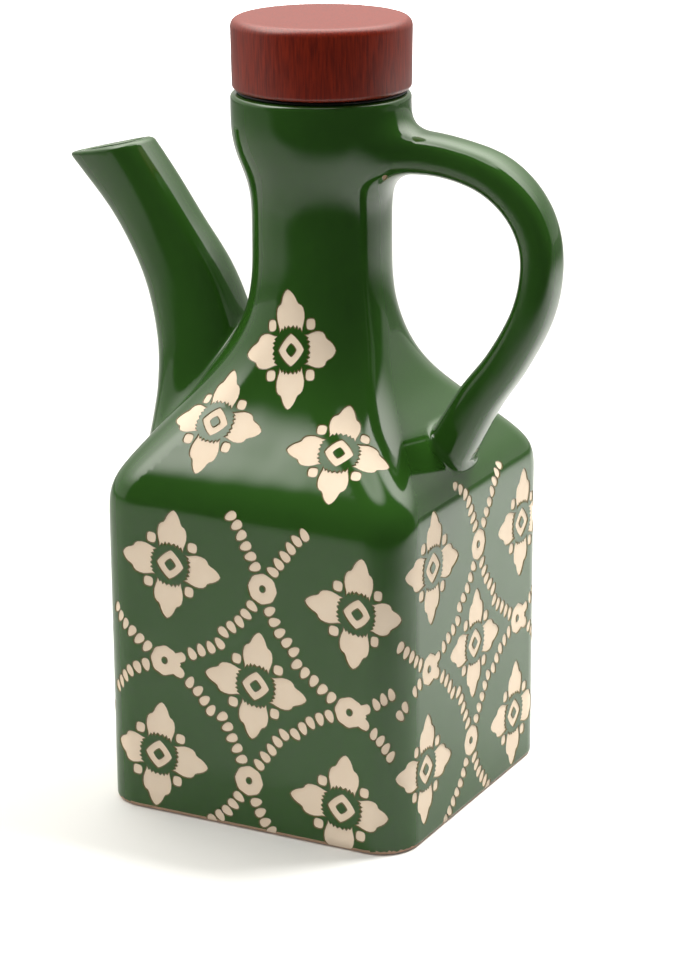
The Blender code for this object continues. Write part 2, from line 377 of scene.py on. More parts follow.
class PotShape:
    """The whole pot as one distance rule: body, spout and handle, hollow inside.

    Each station of SPOUT has x, z, half thickness, half width and pointedness, and each station of
    HANDLE has x, z and its size as a share of HANDLE_HALF.
    """

    SPOUT = (
        (-74, 173.5, 9.9, 6.2, 0.35),
        (-61.2, 160.2, 10.2, 6.6, 0.3),
        (-52.2, 149.8, 9.7, 7.3, 0.2),
        (-44.3, 138.3, 9.8, 8.2, 0.1),
        (-37.9, 127, 11.2, 9.4, 0.05),
        (-33.9, 115, 12.3, 10.8, 0),
        (-31.6, 103, 13.8, 12.4, 0),
        (-28.6, 91, 15.8, 14, 0),
        (-22, 80, 16, 14.5, 0),
    )
    HANDLE = (
        (14, 165.5, 1.25),
        (26, 166, 1.1),
        (36, 165.2, 1.02),
        (47, 161.9, 1.05),
        (55.3, 154.4, 1.02),
        (59, 144, 0.97),
        (57.4, 130.5, 1.0),
        (50.6, 117, 1.03),
        (42.6, 105.8, 1.12),
        (35, 92, 1.25),
    )
    HANDLE_HALF = (4.7, 6.3)
    SPOUT_SQUARENESS = 2.6
    HANDLE_SQUARENESS = 2.7
    SPOUT_FROM, HANDLE_FROM = -8.0, 6.0
    CAVITY_EDGE = 6.0
    BORE_FILLET = 2.0
    INNER_RIM = 0.9
    WALL = 4.0
    SPOUT_WALL = 2.6
    FLOOR = 5.0
    MOUTH = (-60.5, 160.6)
    MOUTH_TILT = math.radians(13.5)
    LIP = 1.1

    def __init__(self) -> None:
        """Prepares the outline table and the two rails."""
        self.body = PotBody()
        self.heights, self.halves = self.body.profile()
        self.slopes = np.gradient(self.halves, self.heights)
        self.spout = Rail(self.SPOUT, self.SPOUT_SQUARENESS)
        thick, wide = self.HANDLE_HALF
        self.handle = Rail([(x, z, thick * k, wide * k, 0) for x, z, k in self.HANDLE],
                           self.HANDLE_SQUARENESS)

    def side(self, points: np.ndarray, inset: float = 0.0) -> np.ndarray:
        """Distance to the body's upright outline.

        Args:
            points: Where to measure, mm.
            inset: How far the outline is moved inwards, mm.

        Returns:
            Distances, negative inside.
        """
        body = self.body
        z = points[:, 2]
        half = np.interp(z, self.heights, self.halves)
        slope = np.interp(z, self.heights, self.slopes)
        turned = smoothstep((z - body.round_from) / body.round_over)
        share = body.corner_share + (1 - body.corner_share) * turned
        corner = half * share
        inner = half - corner
        qx = np.abs(points[:, 0] - body.lean(z)) - inner
        qy = np.abs(points[:, 1]) - inner
        apart = np.hypot(np.maximum(qx, 0), np.maximum(qy, 0)) + np.minimum(np.maximum(qx, qy), 0)
        return (apart - corner) / np.sqrt(1 + slope**2) + inset

    def mouth(self, points: np.ndarray) -> np.ndarray:
        """Height above the sloping plane of the spout's mouth."""
        lift_x, lift_z = -math.sin(self.MOUTH_TILT), math.cos(self.MOUTH_TILT)
        return (points[:, 0] - self.MOUTH[0]) * lift_x + (points[:, 2] - self.MOUTH[1]) * lift_z

    def __call__(self, points: np.ndarray) -> np.ndarray:
        """Distance to the pot's surface. The fillets are wide under the spout and above the handle.

        Args:
            points: Where to measure, mm.

        Returns:
            Distances, negative inside the clay.
        """
        body = self.body
        x, z = points[:, 0], points[:, 2]
        side = self.side(points)
        outer = round_max(round_max(side, z - body.rim_height, body.rim_edge), -z, body.base_edge)
        cavity = round_max(side + self.WALL, self.FLOOR - z, self.CAVITY_EDGE)

        near = x < self.SPOUT_FROM
        if near.any():
            part = points[near]
            tube = round_max(self.spout.distance(part), self.mouth(part), self.LIP)
            fillet = 2.2 + 14 * smoothstep((-part[:, 0] - 27) / 16)
            outer[near] = soft_min(outer[near], tube, fillet)
            bore = self.spout.distance(part, self.SPOUT_WALL)
            cavity[near] = soft_min(cavity[near], bore, self.BORE_FILLET)
        near = x > self.HANDLE_FROM
        if near.any():
            part = points[near]
            fillet = 2.0 + 5 * smoothstep((part[:, 2] - 140) / 12)
            outer[near] = soft_min(outer[near], self.handle.distance(part), fillet)
        return round_max(outer, -cavity, self.INNER_RIM)

    def gradient(self, points: np.ndarray, reach: float = 0.12) -> np.ndarray:
        """Outward directions.

        Args:
            points: Where to measure, mm.
            reach: How far to both sides the slope is measured, mm.

        Returns:
            A unit vector at each point.
        """
        parts = []
        for axis in range(3):
            step = np.zeros(3)
            step[axis] = reach
            parts.append((self(points + step) - self(points - step)) / (2 * reach))
        slope = np.stack(parts, 1)
        return slope / np.maximum(np.linalg.norm(slope, axis=1), 1e-9)[:, None]

    def settle(self, points: np.ndarray, rounds: int = 3, limit: float = 0.8) -> np.ndarray:
        """Moves points on to the surface.

        Args:
            points: Points near the surface, mm.
            rounds: How often they are moved.
            limit: How far at a time, mm.

        Returns:
            The moved points.
        """
        for _ in range(rounds):
            move = np.clip(self(points), -limit, limit)
            points = points - move[:, None] * self.gradient(points)
        return points


class SurfaceNet:
    """Meshes a distance rule on an even grid, then settles the mesh on the surface."""

    def __init__(self, shape: PotShape, low: Sequence[float], high: Sequence[float], step: float) -> None:
        """Keeps what to mesh.

        Args:
            shape: The distance rule.
            low: Lowest corner of the grid, mm.
            high: Highest corner of the grid, mm.
            step: Grid spacing, mm.
        """
        self.shape = shape
        self.axes = [np.arange(a, b + step, step) for a, b in zip(low, high)]
        self.step = step

    def build(self) -> tuple[np.ndarray, np.ndarray]:
        """Meshes the rule with one vertex in each grid cell that the surface crosses.

        Returns:
            The vertices in mm, and the quads.
        """
        grid = np.stack(np.meshgrid(*self.axes, indexing="ij"), -1)
        size = grid.shape[:3]
        values = self.shape(grid.reshape(-1, 3)).reshape(size)
        cells = tuple(n - 1 for n in size)
        total = np.zeros(cells + (3,))
        count = np.zeros(cells)
        edges = []
        for axis in range(3):
            low = [slice(None)] * 3
            high = [slice(None)] * 3
            low[axis], high[axis] = slice(0, -1), slice(1, None)
            a, b = values[tuple(low)], values[tuple(high)]
            crosses = (a < 0) != (b < 0)
            share = np.where(crosses, a / np.where(crosses, a - b, 1), 0)
            place = grid[tuple(low)].copy()
            place[..., axis] += share * self.step
            place[~crosses] = 0
            edges.append((crosses, a < 0))
            others = [k for k in range(3) if k != axis]
            for first in (0, 1):
                for second in (0, 1):
                    pick = [slice(None)] * 3
                    pick[others[0]] = slice(first, first + cells[others[0]])
                    pick[others[1]] = slice(second, second + cells[others[1]])
                    total += place[tuple(pick)]
                    count += crosses[tuple(pick)]
        number = np.full(cells, -1)
        used = count > 0
        number[used] = np.arange(used.sum())
        vertices = total[used] / count[used][:, None]
        quads = []
        for axis, (crosses, starts_inside) in enumerate(edges):
            first, second = (k for k in range(3) if k != axis)
            if axis == 1:
                first, second = second, first
            index = np.argwhere(crosses)
            index = index[(index[:, first] > 0) & (index[:, second] > 0)]
            index = index[(index[:, first] < cells[first]) & (index[:, second] < cells[second])]
            corners = []
            for back_first, back_second in ((1, 1), (0, 1), (0, 0), (1, 0)):
                shifted = index.copy()
                shifted[:, first] -= back_first
                shifted[:, second] -= back_second
                corners.append(number[tuple(shifted.T)])
            quad = np.stack(corners, 1)
            outward = starts_inside[tuple(index.T)]
            quads.append(np.where(outward[:, None], quad, quad[:, ::-1]))
        return vertices, np.concatenate(quads)

    def relax(self, vertices: np.ndarray, quads: np.ndarray, rounds: int) -> np.ndarray:
        """Evens the vertices out along the surface.

        Args:
            vertices: The vertices, mm.
            quads: The quads between them.
            rounds: How often each moves towards its neighbours.

        Returns:
            The moved vertices.
        """
        pairs = np.concatenate([quads[:, (i, (i + 1) % 4)] for i in range(4)])
        for _ in range(rounds):
            total = np.zeros_like(vertices)
            for axis in range(3):
                total[:, axis] = np.bincount(pairs[:, 0], vertices[pairs[:, 1], axis], len(vertices))
            near = np.bincount(pairs[:, 0], minlength=len(vertices))
            vertices = self.shape.settle(0.5 * vertices + 0.5 * total / near[:, None], 1)
        return self.shape.settle(vertices, 2)


# The ornament


class Stamp(IntEnum):
    """The motifs that are cut through the glaze, and one flaw in it."""

    FLOWER = 0
    BOSS = 1
    TAILED_BOSS = 2
    BEAD = 3
    PINHOLE = 4


@dataclass(frozen=True)
class Placed:
    """One motif on one panel.

    Args:
        stamp: Which motif.
        place: Its centre in the panel's own flat coordinates, mm.
        turn: Its turn, radians anticlockwise.
        panel: 0 to 3 for the faces; from 4 the shoulder's tangent panels.
        stretch: Its width and height as a share of the motif's own.
    """

    stamp: Stamp
    place: Point2
    turn: float
    panel: int
    stretch: Point2 = (1.0, 1.0)


@dataclass(frozen=True)
class ShoulderFlower:
    """One flower on the front or back shoulder panel, seen from outside.

    Args:
        across: Its centre's distance to the right of the panel's middle, mm.
        height: Its centre's height, mm.
        stretch: Its width and height as a share of a face flower's.
        turn: Its turn, degrees anticlockwise.
    """

    across: float
    height: float
    stretch: Point2
    turn: float


class Motifs:
    """Outlines of the motifs in mm, each a list of loops; a hole is a loop of its own."""

    @staticmethod
    def turned(points: Iterable[Point2], angle: float) -> list[Point2]:
        """Points turned about the origin.

        Args:
            points: The points.
            angle: Radians anticlockwise.

        Returns:
            The turned points.
        """
        c, s = math.cos(angle), math.sin(angle)
        return [(x * c - y * s, x * s + y * c) for x, y in points]

    @staticmethod
    def petal() -> list[Point2]:
        """One three-lobed petal with a toothed foot, pointing up.

        Returns:
            Its outline, mm from the flower's centre.
        """
        side = [(3.3, 4.25), (3.4, 5.1), (3.75, 6.1), (4.05, 7.3), (4.05, 8.5), (3.8, 9.6), (3.3, 10.25),
                (2.55, 10.65), (2.15, 11.3), (1.85, 12.1), (1.35, 13.0), (0.65, 13.8), (0.0, 14.15)]
        teeth = [(2.75, 5.2), (2.25, 4.85), (1.85, 5.7), (1.3, 5.1), (0.75, 5.75), (0.0, 5.2)]
        right = list(reversed(teeth)) + side
        left = [(-x, y) for x, y in reversed(right)]
        return right[:-1] + left[:-1]

    @staticmethod
    def oval(half_x: float, half_y: float, power: float, count: int,
             centre: Point2 = (0, 0)) -> list[Point2]:
        """A superellipse outline.

        Args:
            half_x: Half its width, mm.
            half_y: Half its height, mm.
            power: 2 for an ellipse, less for a diamond, more for a rounded box.
            count: Number of points.
            centre: Its centre, mm.

        Returns:
            The points, anticlockwise.
        """
        points = []
        for i in range(count):
            c, s = math.cos(2 * math.pi * i / count), math.sin(2 * math.pi * i / count)
            points.append((centre[0] + math.copysign(abs(c) ** (2 / power), c) * half_x,
                           centre[1] + math.copysign(abs(s) ** (2 / power), s) * half_y))
        return points

    @classmethod
    def flower(cls) -> list[list[Point2]]:
        """Four petals, four small squares between them and a diamond ring in the middle.

        Returns:
            The outlines of all of them.
        """
        loops = []
        for quarter in range(4):
            turn = quarter * math.pi / 2
            loops.append(cls.turned(cls.petal(), turn))
            loops.append(cls.turned(cls.oval(1.3, 1.25, 3.0, 16, (5.9, 5.75)), turn))
        loops.append(cls.oval(3.7, 3.7, 1.25, 24))
        loops.append(cls.oval(1.65, 1.65, 1.3, 16))
        return loops

    @staticmethod
    def boss(tails: bool) -> list[list[Point2]]:
        """A ring with a small hole.

        Args:
            tails: Whether two fused beads stick out of its right side.

        Returns:
            Its outline and its hole.
        """
        fused = ((5.0, math.radians(24), 1.4), (4.2, 0.0, 0.5), (5.0, math.radians(-26), 1.4))
        lobes = fused if tails else ()
        count = 60 if tails else 28
        outline = []
        for i in range(count):
            angle = 2 * math.pi * i / count
            radius = 3.85 + 0.1 * math.cos(8 * angle)
            for away, towards, size in lobes:
                off = away * math.sin(angle - towards)
                if abs(off) < size and math.cos(angle - towards) > 0:
                    radius = max(radius, away * math.cos(angle - towards) + math.sqrt(size**2 - off**2))
            outline.append((radius * math.cos(angle), radius * math.sin(angle)))
        return [outline, Motifs.oval(0.95, 1.05, 2, 12)]

    @classmethod
    def loops(cls, stamp: Stamp) -> list[list[Point2]]:
        """The loops of one motif.

        Args:
            stamp: Which motif.

        Returns:
            Its outlines and holes, mm.
        """
        if stamp is Stamp.FLOWER:
            return cls.flower()
        if stamp is Stamp.BEAD:
            return [[(x * (1.0 - 0.16 * y), y) for x, y in cls.oval(1.1, 1.7, 2.1, 14)]]
        if stamp is Stamp.PINHOLE:
            return [[(x * (1.0 + 0.3 * y), y) for x, y in cls.oval(0.5, 0.95, 2, 12)]]
        return cls.boss(stamp is Stamp.TAILED_BOSS)


@dataclass(frozen=True)
class Cutter:
    """How a motif goes through the glaze: a clay floor, a rounded glaze edge and a clear top.

    Args:
        depth: Depth of the clay under the glaze.
        edge: Width of the slanted edge of the glaze.
        clear: Height of the cutter above the glaze.
        spacing: Spacing of the points inside the floor, so that it follows the curved pot.
    """

    depth: float = 0.22
    edge: float = 0.24
    clear: float = 0.15
    spacing: float = 1.9

    @staticmethod
    def outward(loop: Sequence[Point2]) -> np.ndarray:
        """Directions that widen an anticlockwise loop.

        Args:
            loop: The points of the loop.

        Returns:
            A direction at each point, longer than 1 at corners so that the sides move evenly.
        """
        points = np.array(loop)
        before = points - np.roll(points, 1, 0)
        after = np.roll(points, -1, 0) - points
        normals = []
        for edge in (before, after):
            edge = edge / np.linalg.norm(edge, axis=1)[:, None]
            normals.append(np.stack([edge[:, 1], -edge[:, 0]], 1))
        middle = normals[0] + normals[1]
        length = np.linalg.norm(middle, axis=1)[:, None]
        middle = middle / np.maximum(length, 0.2)
        stretch = 1 / np.maximum((middle * normals[0]).sum(1), 0.62)[:, None]
        return middle * stretch

    def fill(self, loops: Sequence[Sequence[Point2]]) -> tuple[list[Point2], list[list[int]]]:
        """Triangles between loops, with inner points where the motif is wide.

        Args:
            loops: The outline and the holes of a motif.

        Returns:
            The points, the loops' first, and the triangles.
        """
        outline = [point for loop in loops for point in loop]
        edges, start = [], 0
        for loop in loops:
            edges += [(start + i, start + (i + 1) % len(loop)) for i in range(len(loop))]
            start += len(loop)
        ring = np.array(outline)
        low, high = ring.min(0), ring.max(0)
        inner = []
        rows = int((high[1] - low[1]) / (self.spacing * 0.87)) + 1
        for row in range(rows):
            y = low[1] + (row + 0.5) * self.spacing * 0.87
            for column in range(int((high[0] - low[0]) / self.spacing) + 1):
                x = low[0] + (column + 0.25 + 0.5 * (row % 2)) * self.spacing
                if self.inside((x, y), loops) and np.hypot(*(ring - (x, y)).T).min() > 0.75:
                    inner.append((x, y))
        points = outline + inner
        result = delaunay_2d_cdt([Vector(p) for p in points], edges, [], 0, 1e-5)
        triangles = []
        for face in result[2]:
            middle = sum((result[0][i] for i in face), Vector((0, 0))) / len(face)
            if self.inside((middle.x, middle.y), loops):
                triangles.append([result[3][i][0] for i in face])
        return points, triangles

    @staticmethod
    def inside(point: Point2, loops: Sequence[Sequence[Point2]]) -> bool:
        """Whether a point lies inside a motif.

        Args:
            point: The point.
            loops: The motif's outlines and holes.

        Returns:
            Whether it is inside an odd number of them.
        """
        x, y = point
        odd = False
        for loop in loops:
            for (ax, ay), (bx, by) in zip(loop, loop[1:] + loop[:1]):
                if (ay > y) != (by > y) and x < ax + (y - ay) * (bx - ax) / (by - ay):
                    odd = not odd
        return odd

    def solid(self, stamp: Stamp) -> bpy.types.Object:
        """The motif as a closed cutter.

        Args:
            stamp: Which motif.

        Returns:
            Its mesh in flat coordinates, with height as z, in units of a millimetre. Floor faces
            are marked by the attribute floor.
        """
        loops = Motifs.loops(stamp)
        points, triangles = self.fill(loops)
        flat = np.array(points)
        outward = np.zeros_like(flat)
        start = 0
        walls = []
        for loop in loops:
            ways = self.outward(loop)
            hole = self.inside(loop[0] + 0.02 * ways[0], [other for other in loops if other is not loop])
            outward[start:start + len(loop)] = -ways if hole else ways
            ring = [start + i for i in range(len(loop))]
            walls.append(ring[::-1] if hole else ring)
            start += len(loop)
        levels = ((0.0, -self.depth), (0.42 * self.edge, -0.42 * self.depth), (self.edge, 0.0),
                  (self.edge + 0.03, self.clear))
        count = len(flat)
        rings = [np.column_stack([flat + outward * out, np.full(count, lift)]) for out, lift in levels]
        faces: list[list[int]] = [list(reversed(t)) for t in triangles]
        floor_faces = len(faces)
        top = (len(levels) - 1) * count
        for ring in walls:
            for i, j in zip(ring, ring[1:] + ring[:1]):
                for level in range(len(levels) - 1):
                    low, high = level * count, (level + 1) * count
                    faces.append([low + i, low + j, high + j, high + i])
        faces += [[top + i for i in t] for t in triangles]
        made = mesh_object(f"cutter_{stamp.name.lower()}", np.concatenate(rings) / MM, faces)
        is_floor = np.zeros(len(faces), bool)
        is_floor[:floor_faces] = True
        attribute = made.data.attributes.new("floor", "BOOLEAN", "FACE")
        attribute.data.foreach_set("value", is_floor)
        builder = bmesh.new()
        builder.from_mesh(made.data)
        loose = [v for v in builder.verts if not v.link_faces]
        bmesh.ops.delete(builder, geom=loose, context="VERTS")
        builder.to_mesh(made.data)
        builder.free()
        return made


@dataclass(frozen=True)
class FaceLattice:
    """The trellis on one face: flowers where i + j is even, bosses where it is odd.

    Args:
        centre: Middle flower, mm from the face's middle line and above the table.
        turn: Turn of the whole trellis, radians clockwise.
        step_u: Half spacing across.
        step_v: Half spacing upwards.
        bow: How far the bead strands bow away from the outer flowers.
        bead_start: Distance from a boss to its first bead.
        bead_pitch: Distance between beads.
        loose_end: Share of its way that a strand runs when no other strand meets it.
        jog: How far a strand steps aside at its middle, so that its two halves overlap.
        jog_start: Where it starts to, as a share of the strand.
        jog_over: Over what share of the strand it does.
        sway: Largest turn of a bead out of its strand, degrees.
        edge_u: How far across beads may lie.
        low: How low beads may lie.
        top: How high beads may lie.
        seed: Seed of the beads' turns on the first face.
    """

    centre: Point2
    turn: float
    step_u: float = 25.98
    step_v: float = 25.64
    bow: float = 3.8
    bead_start: float = 5.4
    bead_pitch: float = 2.7
    loose_end: float = 0.62
    jog: float = 0.8
    jog_start: float = 0.28
    jog_over: float = 0.18
    sway: float = 12.0
    edge_u: float = 42.4
    low: float = -2.0
    top: float = 90.0
    seed: int = 40

    def at(self, i: float, j: float) -> np.ndarray:
        """A point of the lattice.

        Args:
            i: Steps across from the middle flower.
            j: Steps upwards from it.

        Returns:
            The point in the face's flat coordinates, mm.
        """
        c, s = math.cos(self.turn), math.sin(self.turn)
        return np.array([self.centre[0] + i * self.step_u * c + j * self.step_v * s,
                         self.centre[1] - i * self.step_u * s + j * self.step_v * c])

    def strand(self, start: tuple[int, int], end: tuple[int, int], panel: int,
               chance: random.Random) -> list[Placed]:
        """Beads of one bowed strand. It runs half way to the next boss, or further where none comes.

        Args:
            start: Lattice point of its boss.
            end: Lattice point of the boss that it points to, on this face or round the corner.
            panel: Number of the face.
            chance: Source of the beads' slight turns.

        Returns:
            The beads.
        """
        here, there = self.at(*start), self.at(*end)
        odd = [(start[0], end[1]), (end[0], start[1])]
        flower = next(self.at(*node) for node in odd if node[0] % 2 != 0)
        middle = (here + there) / 2
        away = (middle - flower) / np.linalg.norm(middle - flower)
        chord = there - here
        length = np.linalg.norm(chord)
        beads = []
        tailed = start[1] % 2 == 0 and end[0] > start[0]
        offset = self.bead_start + (self.bead_pitch if tailed else 0)
        pitch, last = self.bead_pitch, length * self.loose_end
        side = 1 if end[1] > start[1] else -1
        if max(abs(end[0]), abs(end[1])) <= 1:
            last = length / 2
            pitch = (last - offset) / (round((last - offset) / pitch - 0.5) + 0.5)
        while offset < last:
            t = offset / length
            jog = self.jog * side * smoothstep(np.array((t - self.jog_start) / self.jog_over))
            place = here + chord * t + away * (self.bow * 4 * t * (1 - t) + jog)
            way = chord + away * self.bow * 4 * (1 - 2 * t)
            if abs(place[0]) < self.edge_u and self.low < place[1] < self.top:
                turn = math.atan2(way[1], way[0]) + math.radians(chance.uniform(-self.sway, self.sway))
                beads.append(Placed(Stamp.BEAD, (float(place[0]), float(place[1])), turn, panel))
            offset += pitch
        return beads

    def stamps(self, panel: int) -> list[Placed]:
        """Every motif of one face.

        Args:
            panel: Number of the face.

        Returns:
            Flowers and bosses first, then the beads.
        """
        chance = random.Random(self.seed + panel)
        made = []
        for i in (-1, 0, 1):
            for j in (-1, 0, 1):
                u, v = self.at(i, j)
                if (i + j) % 2 == 0:
                    made.append(Placed(Stamp.FLOWER, (u, v), -self.turn, panel))
                else:
                    stamp = Stamp.TAILED_BOSS if j == 0 else Stamp.BOSS
                    made.append(Placed(stamp, (u, v), -self.turn, panel))
        for boss in ((0, 1), (0, -1), (1, 0), (-1, 0)):
            for di in (-1, 1):
                for dj in (-1, 1):
                    made += self.strand(boss, (boss[0] + di, boss[1] + dj), panel, chance)
        return made


class StampMapper:
    """Carries flat motif coordinates on to the pot.

    Further across than GRIP the print is drawn in towards the face, to CORNER_SHARE of its width.
    Above BEND_FROM it is settled on the bend. NEAR_PANEL is a depth from which the shoulder's
    panels are found.
    """

    GRIP = 33.0
    CORNER_SHARE = 0.76
    BEND_FROM = 74.0
    NEAR_PANEL = 30.0

    def __init__(self, shape: PotShape) -> None:
        """Keeps the pot's shape and finds the shoulder's tangent panels."""
        self.shape = shape
        self.panels = [self.tangent(flower.across, flower.height, side)
                       for side in (0, 2) for flower in Ornament.SHOULDER]
        self.panels.append(self.frame(shape.settle(np.array([Ornament.PINHOLE]))))

    def tangent(self, across: float, height: float, side: int) -> tuple[np.ndarray, ...]:
        """A tangent frame on a shoulder panel.

        Args:
            across: Distance to the right of the panel's middle, seen from outside.
            height: Height of the panel's centre.
            side: 0 for the front panel, 2 for the back one.

        Returns:
            The centre on the surface, and the right, up and outward directions.
        """
        flip = 1 if side == 0 else -1
        start = np.array([[across * flip, -self.NEAR_PANEL * flip, height]])
        for _ in range(12):
            outward = self.shape.gradient(start)
            level = outward * (1, 1, 0)
            level /= np.linalg.norm(level)
            start = start - self.shape(start)[:, None] * level
        return self.frame(start)

    def frame(self, start: np.ndarray) -> tuple[np.ndarray, ...]:
        """A frame on the surface.

        Args:
            start: One point on the surface, mm.

        Returns:
            The point, and the right, up and outward directions there.
        """
        normal = self.shape.gradient(start)[0]
        right = np.cross((0, 0, 1), normal)
        right /= np.linalg.norm(right)
        return start[0], right, np.cross(normal, right), normal

    def face(self, flat: np.ndarray, side: int) -> np.ndarray:
        """Wraps flat coordinates round one face and its corners.

        Args:
            flat: Distance across, height along the surface and lift off it, mm.
            side: Number of the face, from the front anticlockwise seen from above.

        Returns:
            Places on the pot, mm.
        """
        body = self.shape.body
        u, v, lift = flat.T
        reach = np.abs(u)
        reach = np.where(reach > self.GRIP, self.GRIP + (reach - self.GRIP) * self.CORNER_SHARE, reach)
        past = np.minimum(np.maximum(reach - body.flat_half, 0) / body.corner, math.pi / 2)
        x = np.sign(u) * (np.minimum(reach, body.flat_half) + (body.corner + lift) * np.sin(past))
        y = -(body.flat_half + (body.corner + lift) * np.cos(past))
        over = np.clip((v - body.shoulder_start) / body.shoulder_radius, 0, body.shoulder_slope)
        z = np.minimum(v, body.shoulder_start) + body.shoulder_radius * np.sin(over)
        turn = side * math.pi / 2
        placed = np.column_stack([x * math.cos(turn) - y * math.sin(turn),
                                  x * math.sin(turn) + y * math.cos(turn), z])
        high = v > self.BEND_FROM
        if high.any():
            settled = self.shape.settle(placed[high], 6)
            placed[high] = settled + self.shape.gradient(settled) * lift[high][:, None]
        return placed

    def shoulder(self, flat: np.ndarray, panel: int) -> np.ndarray:
        """Lays flat coordinates on a shoulder panel.

        Args:
            flat: Distance to the right, upwards and off the surface, mm.
            panel: Number of the panel's frame.

        Returns:
            Places on the pot, mm.
        """
        centre, right, up, _ = self.panels[panel]
        on_plane = centre + flat[:, :1] * right + flat[:, 1:2] * up
        settled = self.shape.settle(on_plane, 6, 1.5)
        return settled + self.shape.gradient(settled) * flat[:, 2:]

    def __call__(self, flat: np.ndarray, panels: np.ndarray) -> np.ndarray:
        """Puts every vertex in its place on the pot.

        Args:
            flat: Flat coordinates, mm.
            panels: The panel that each vertex belongs to.

        Returns:
            Places on the pot, mm.
        """
        placed = np.zeros_like(flat)
        for panel in np.unique(panels):
            pick = panels == panel
            if panel < 4:
                placed[pick] = self.face(flat[pick], int(panel))
            else:
                placed[pick] = self.shoulder(flat[pick], int(panel) - 4)
        return placed


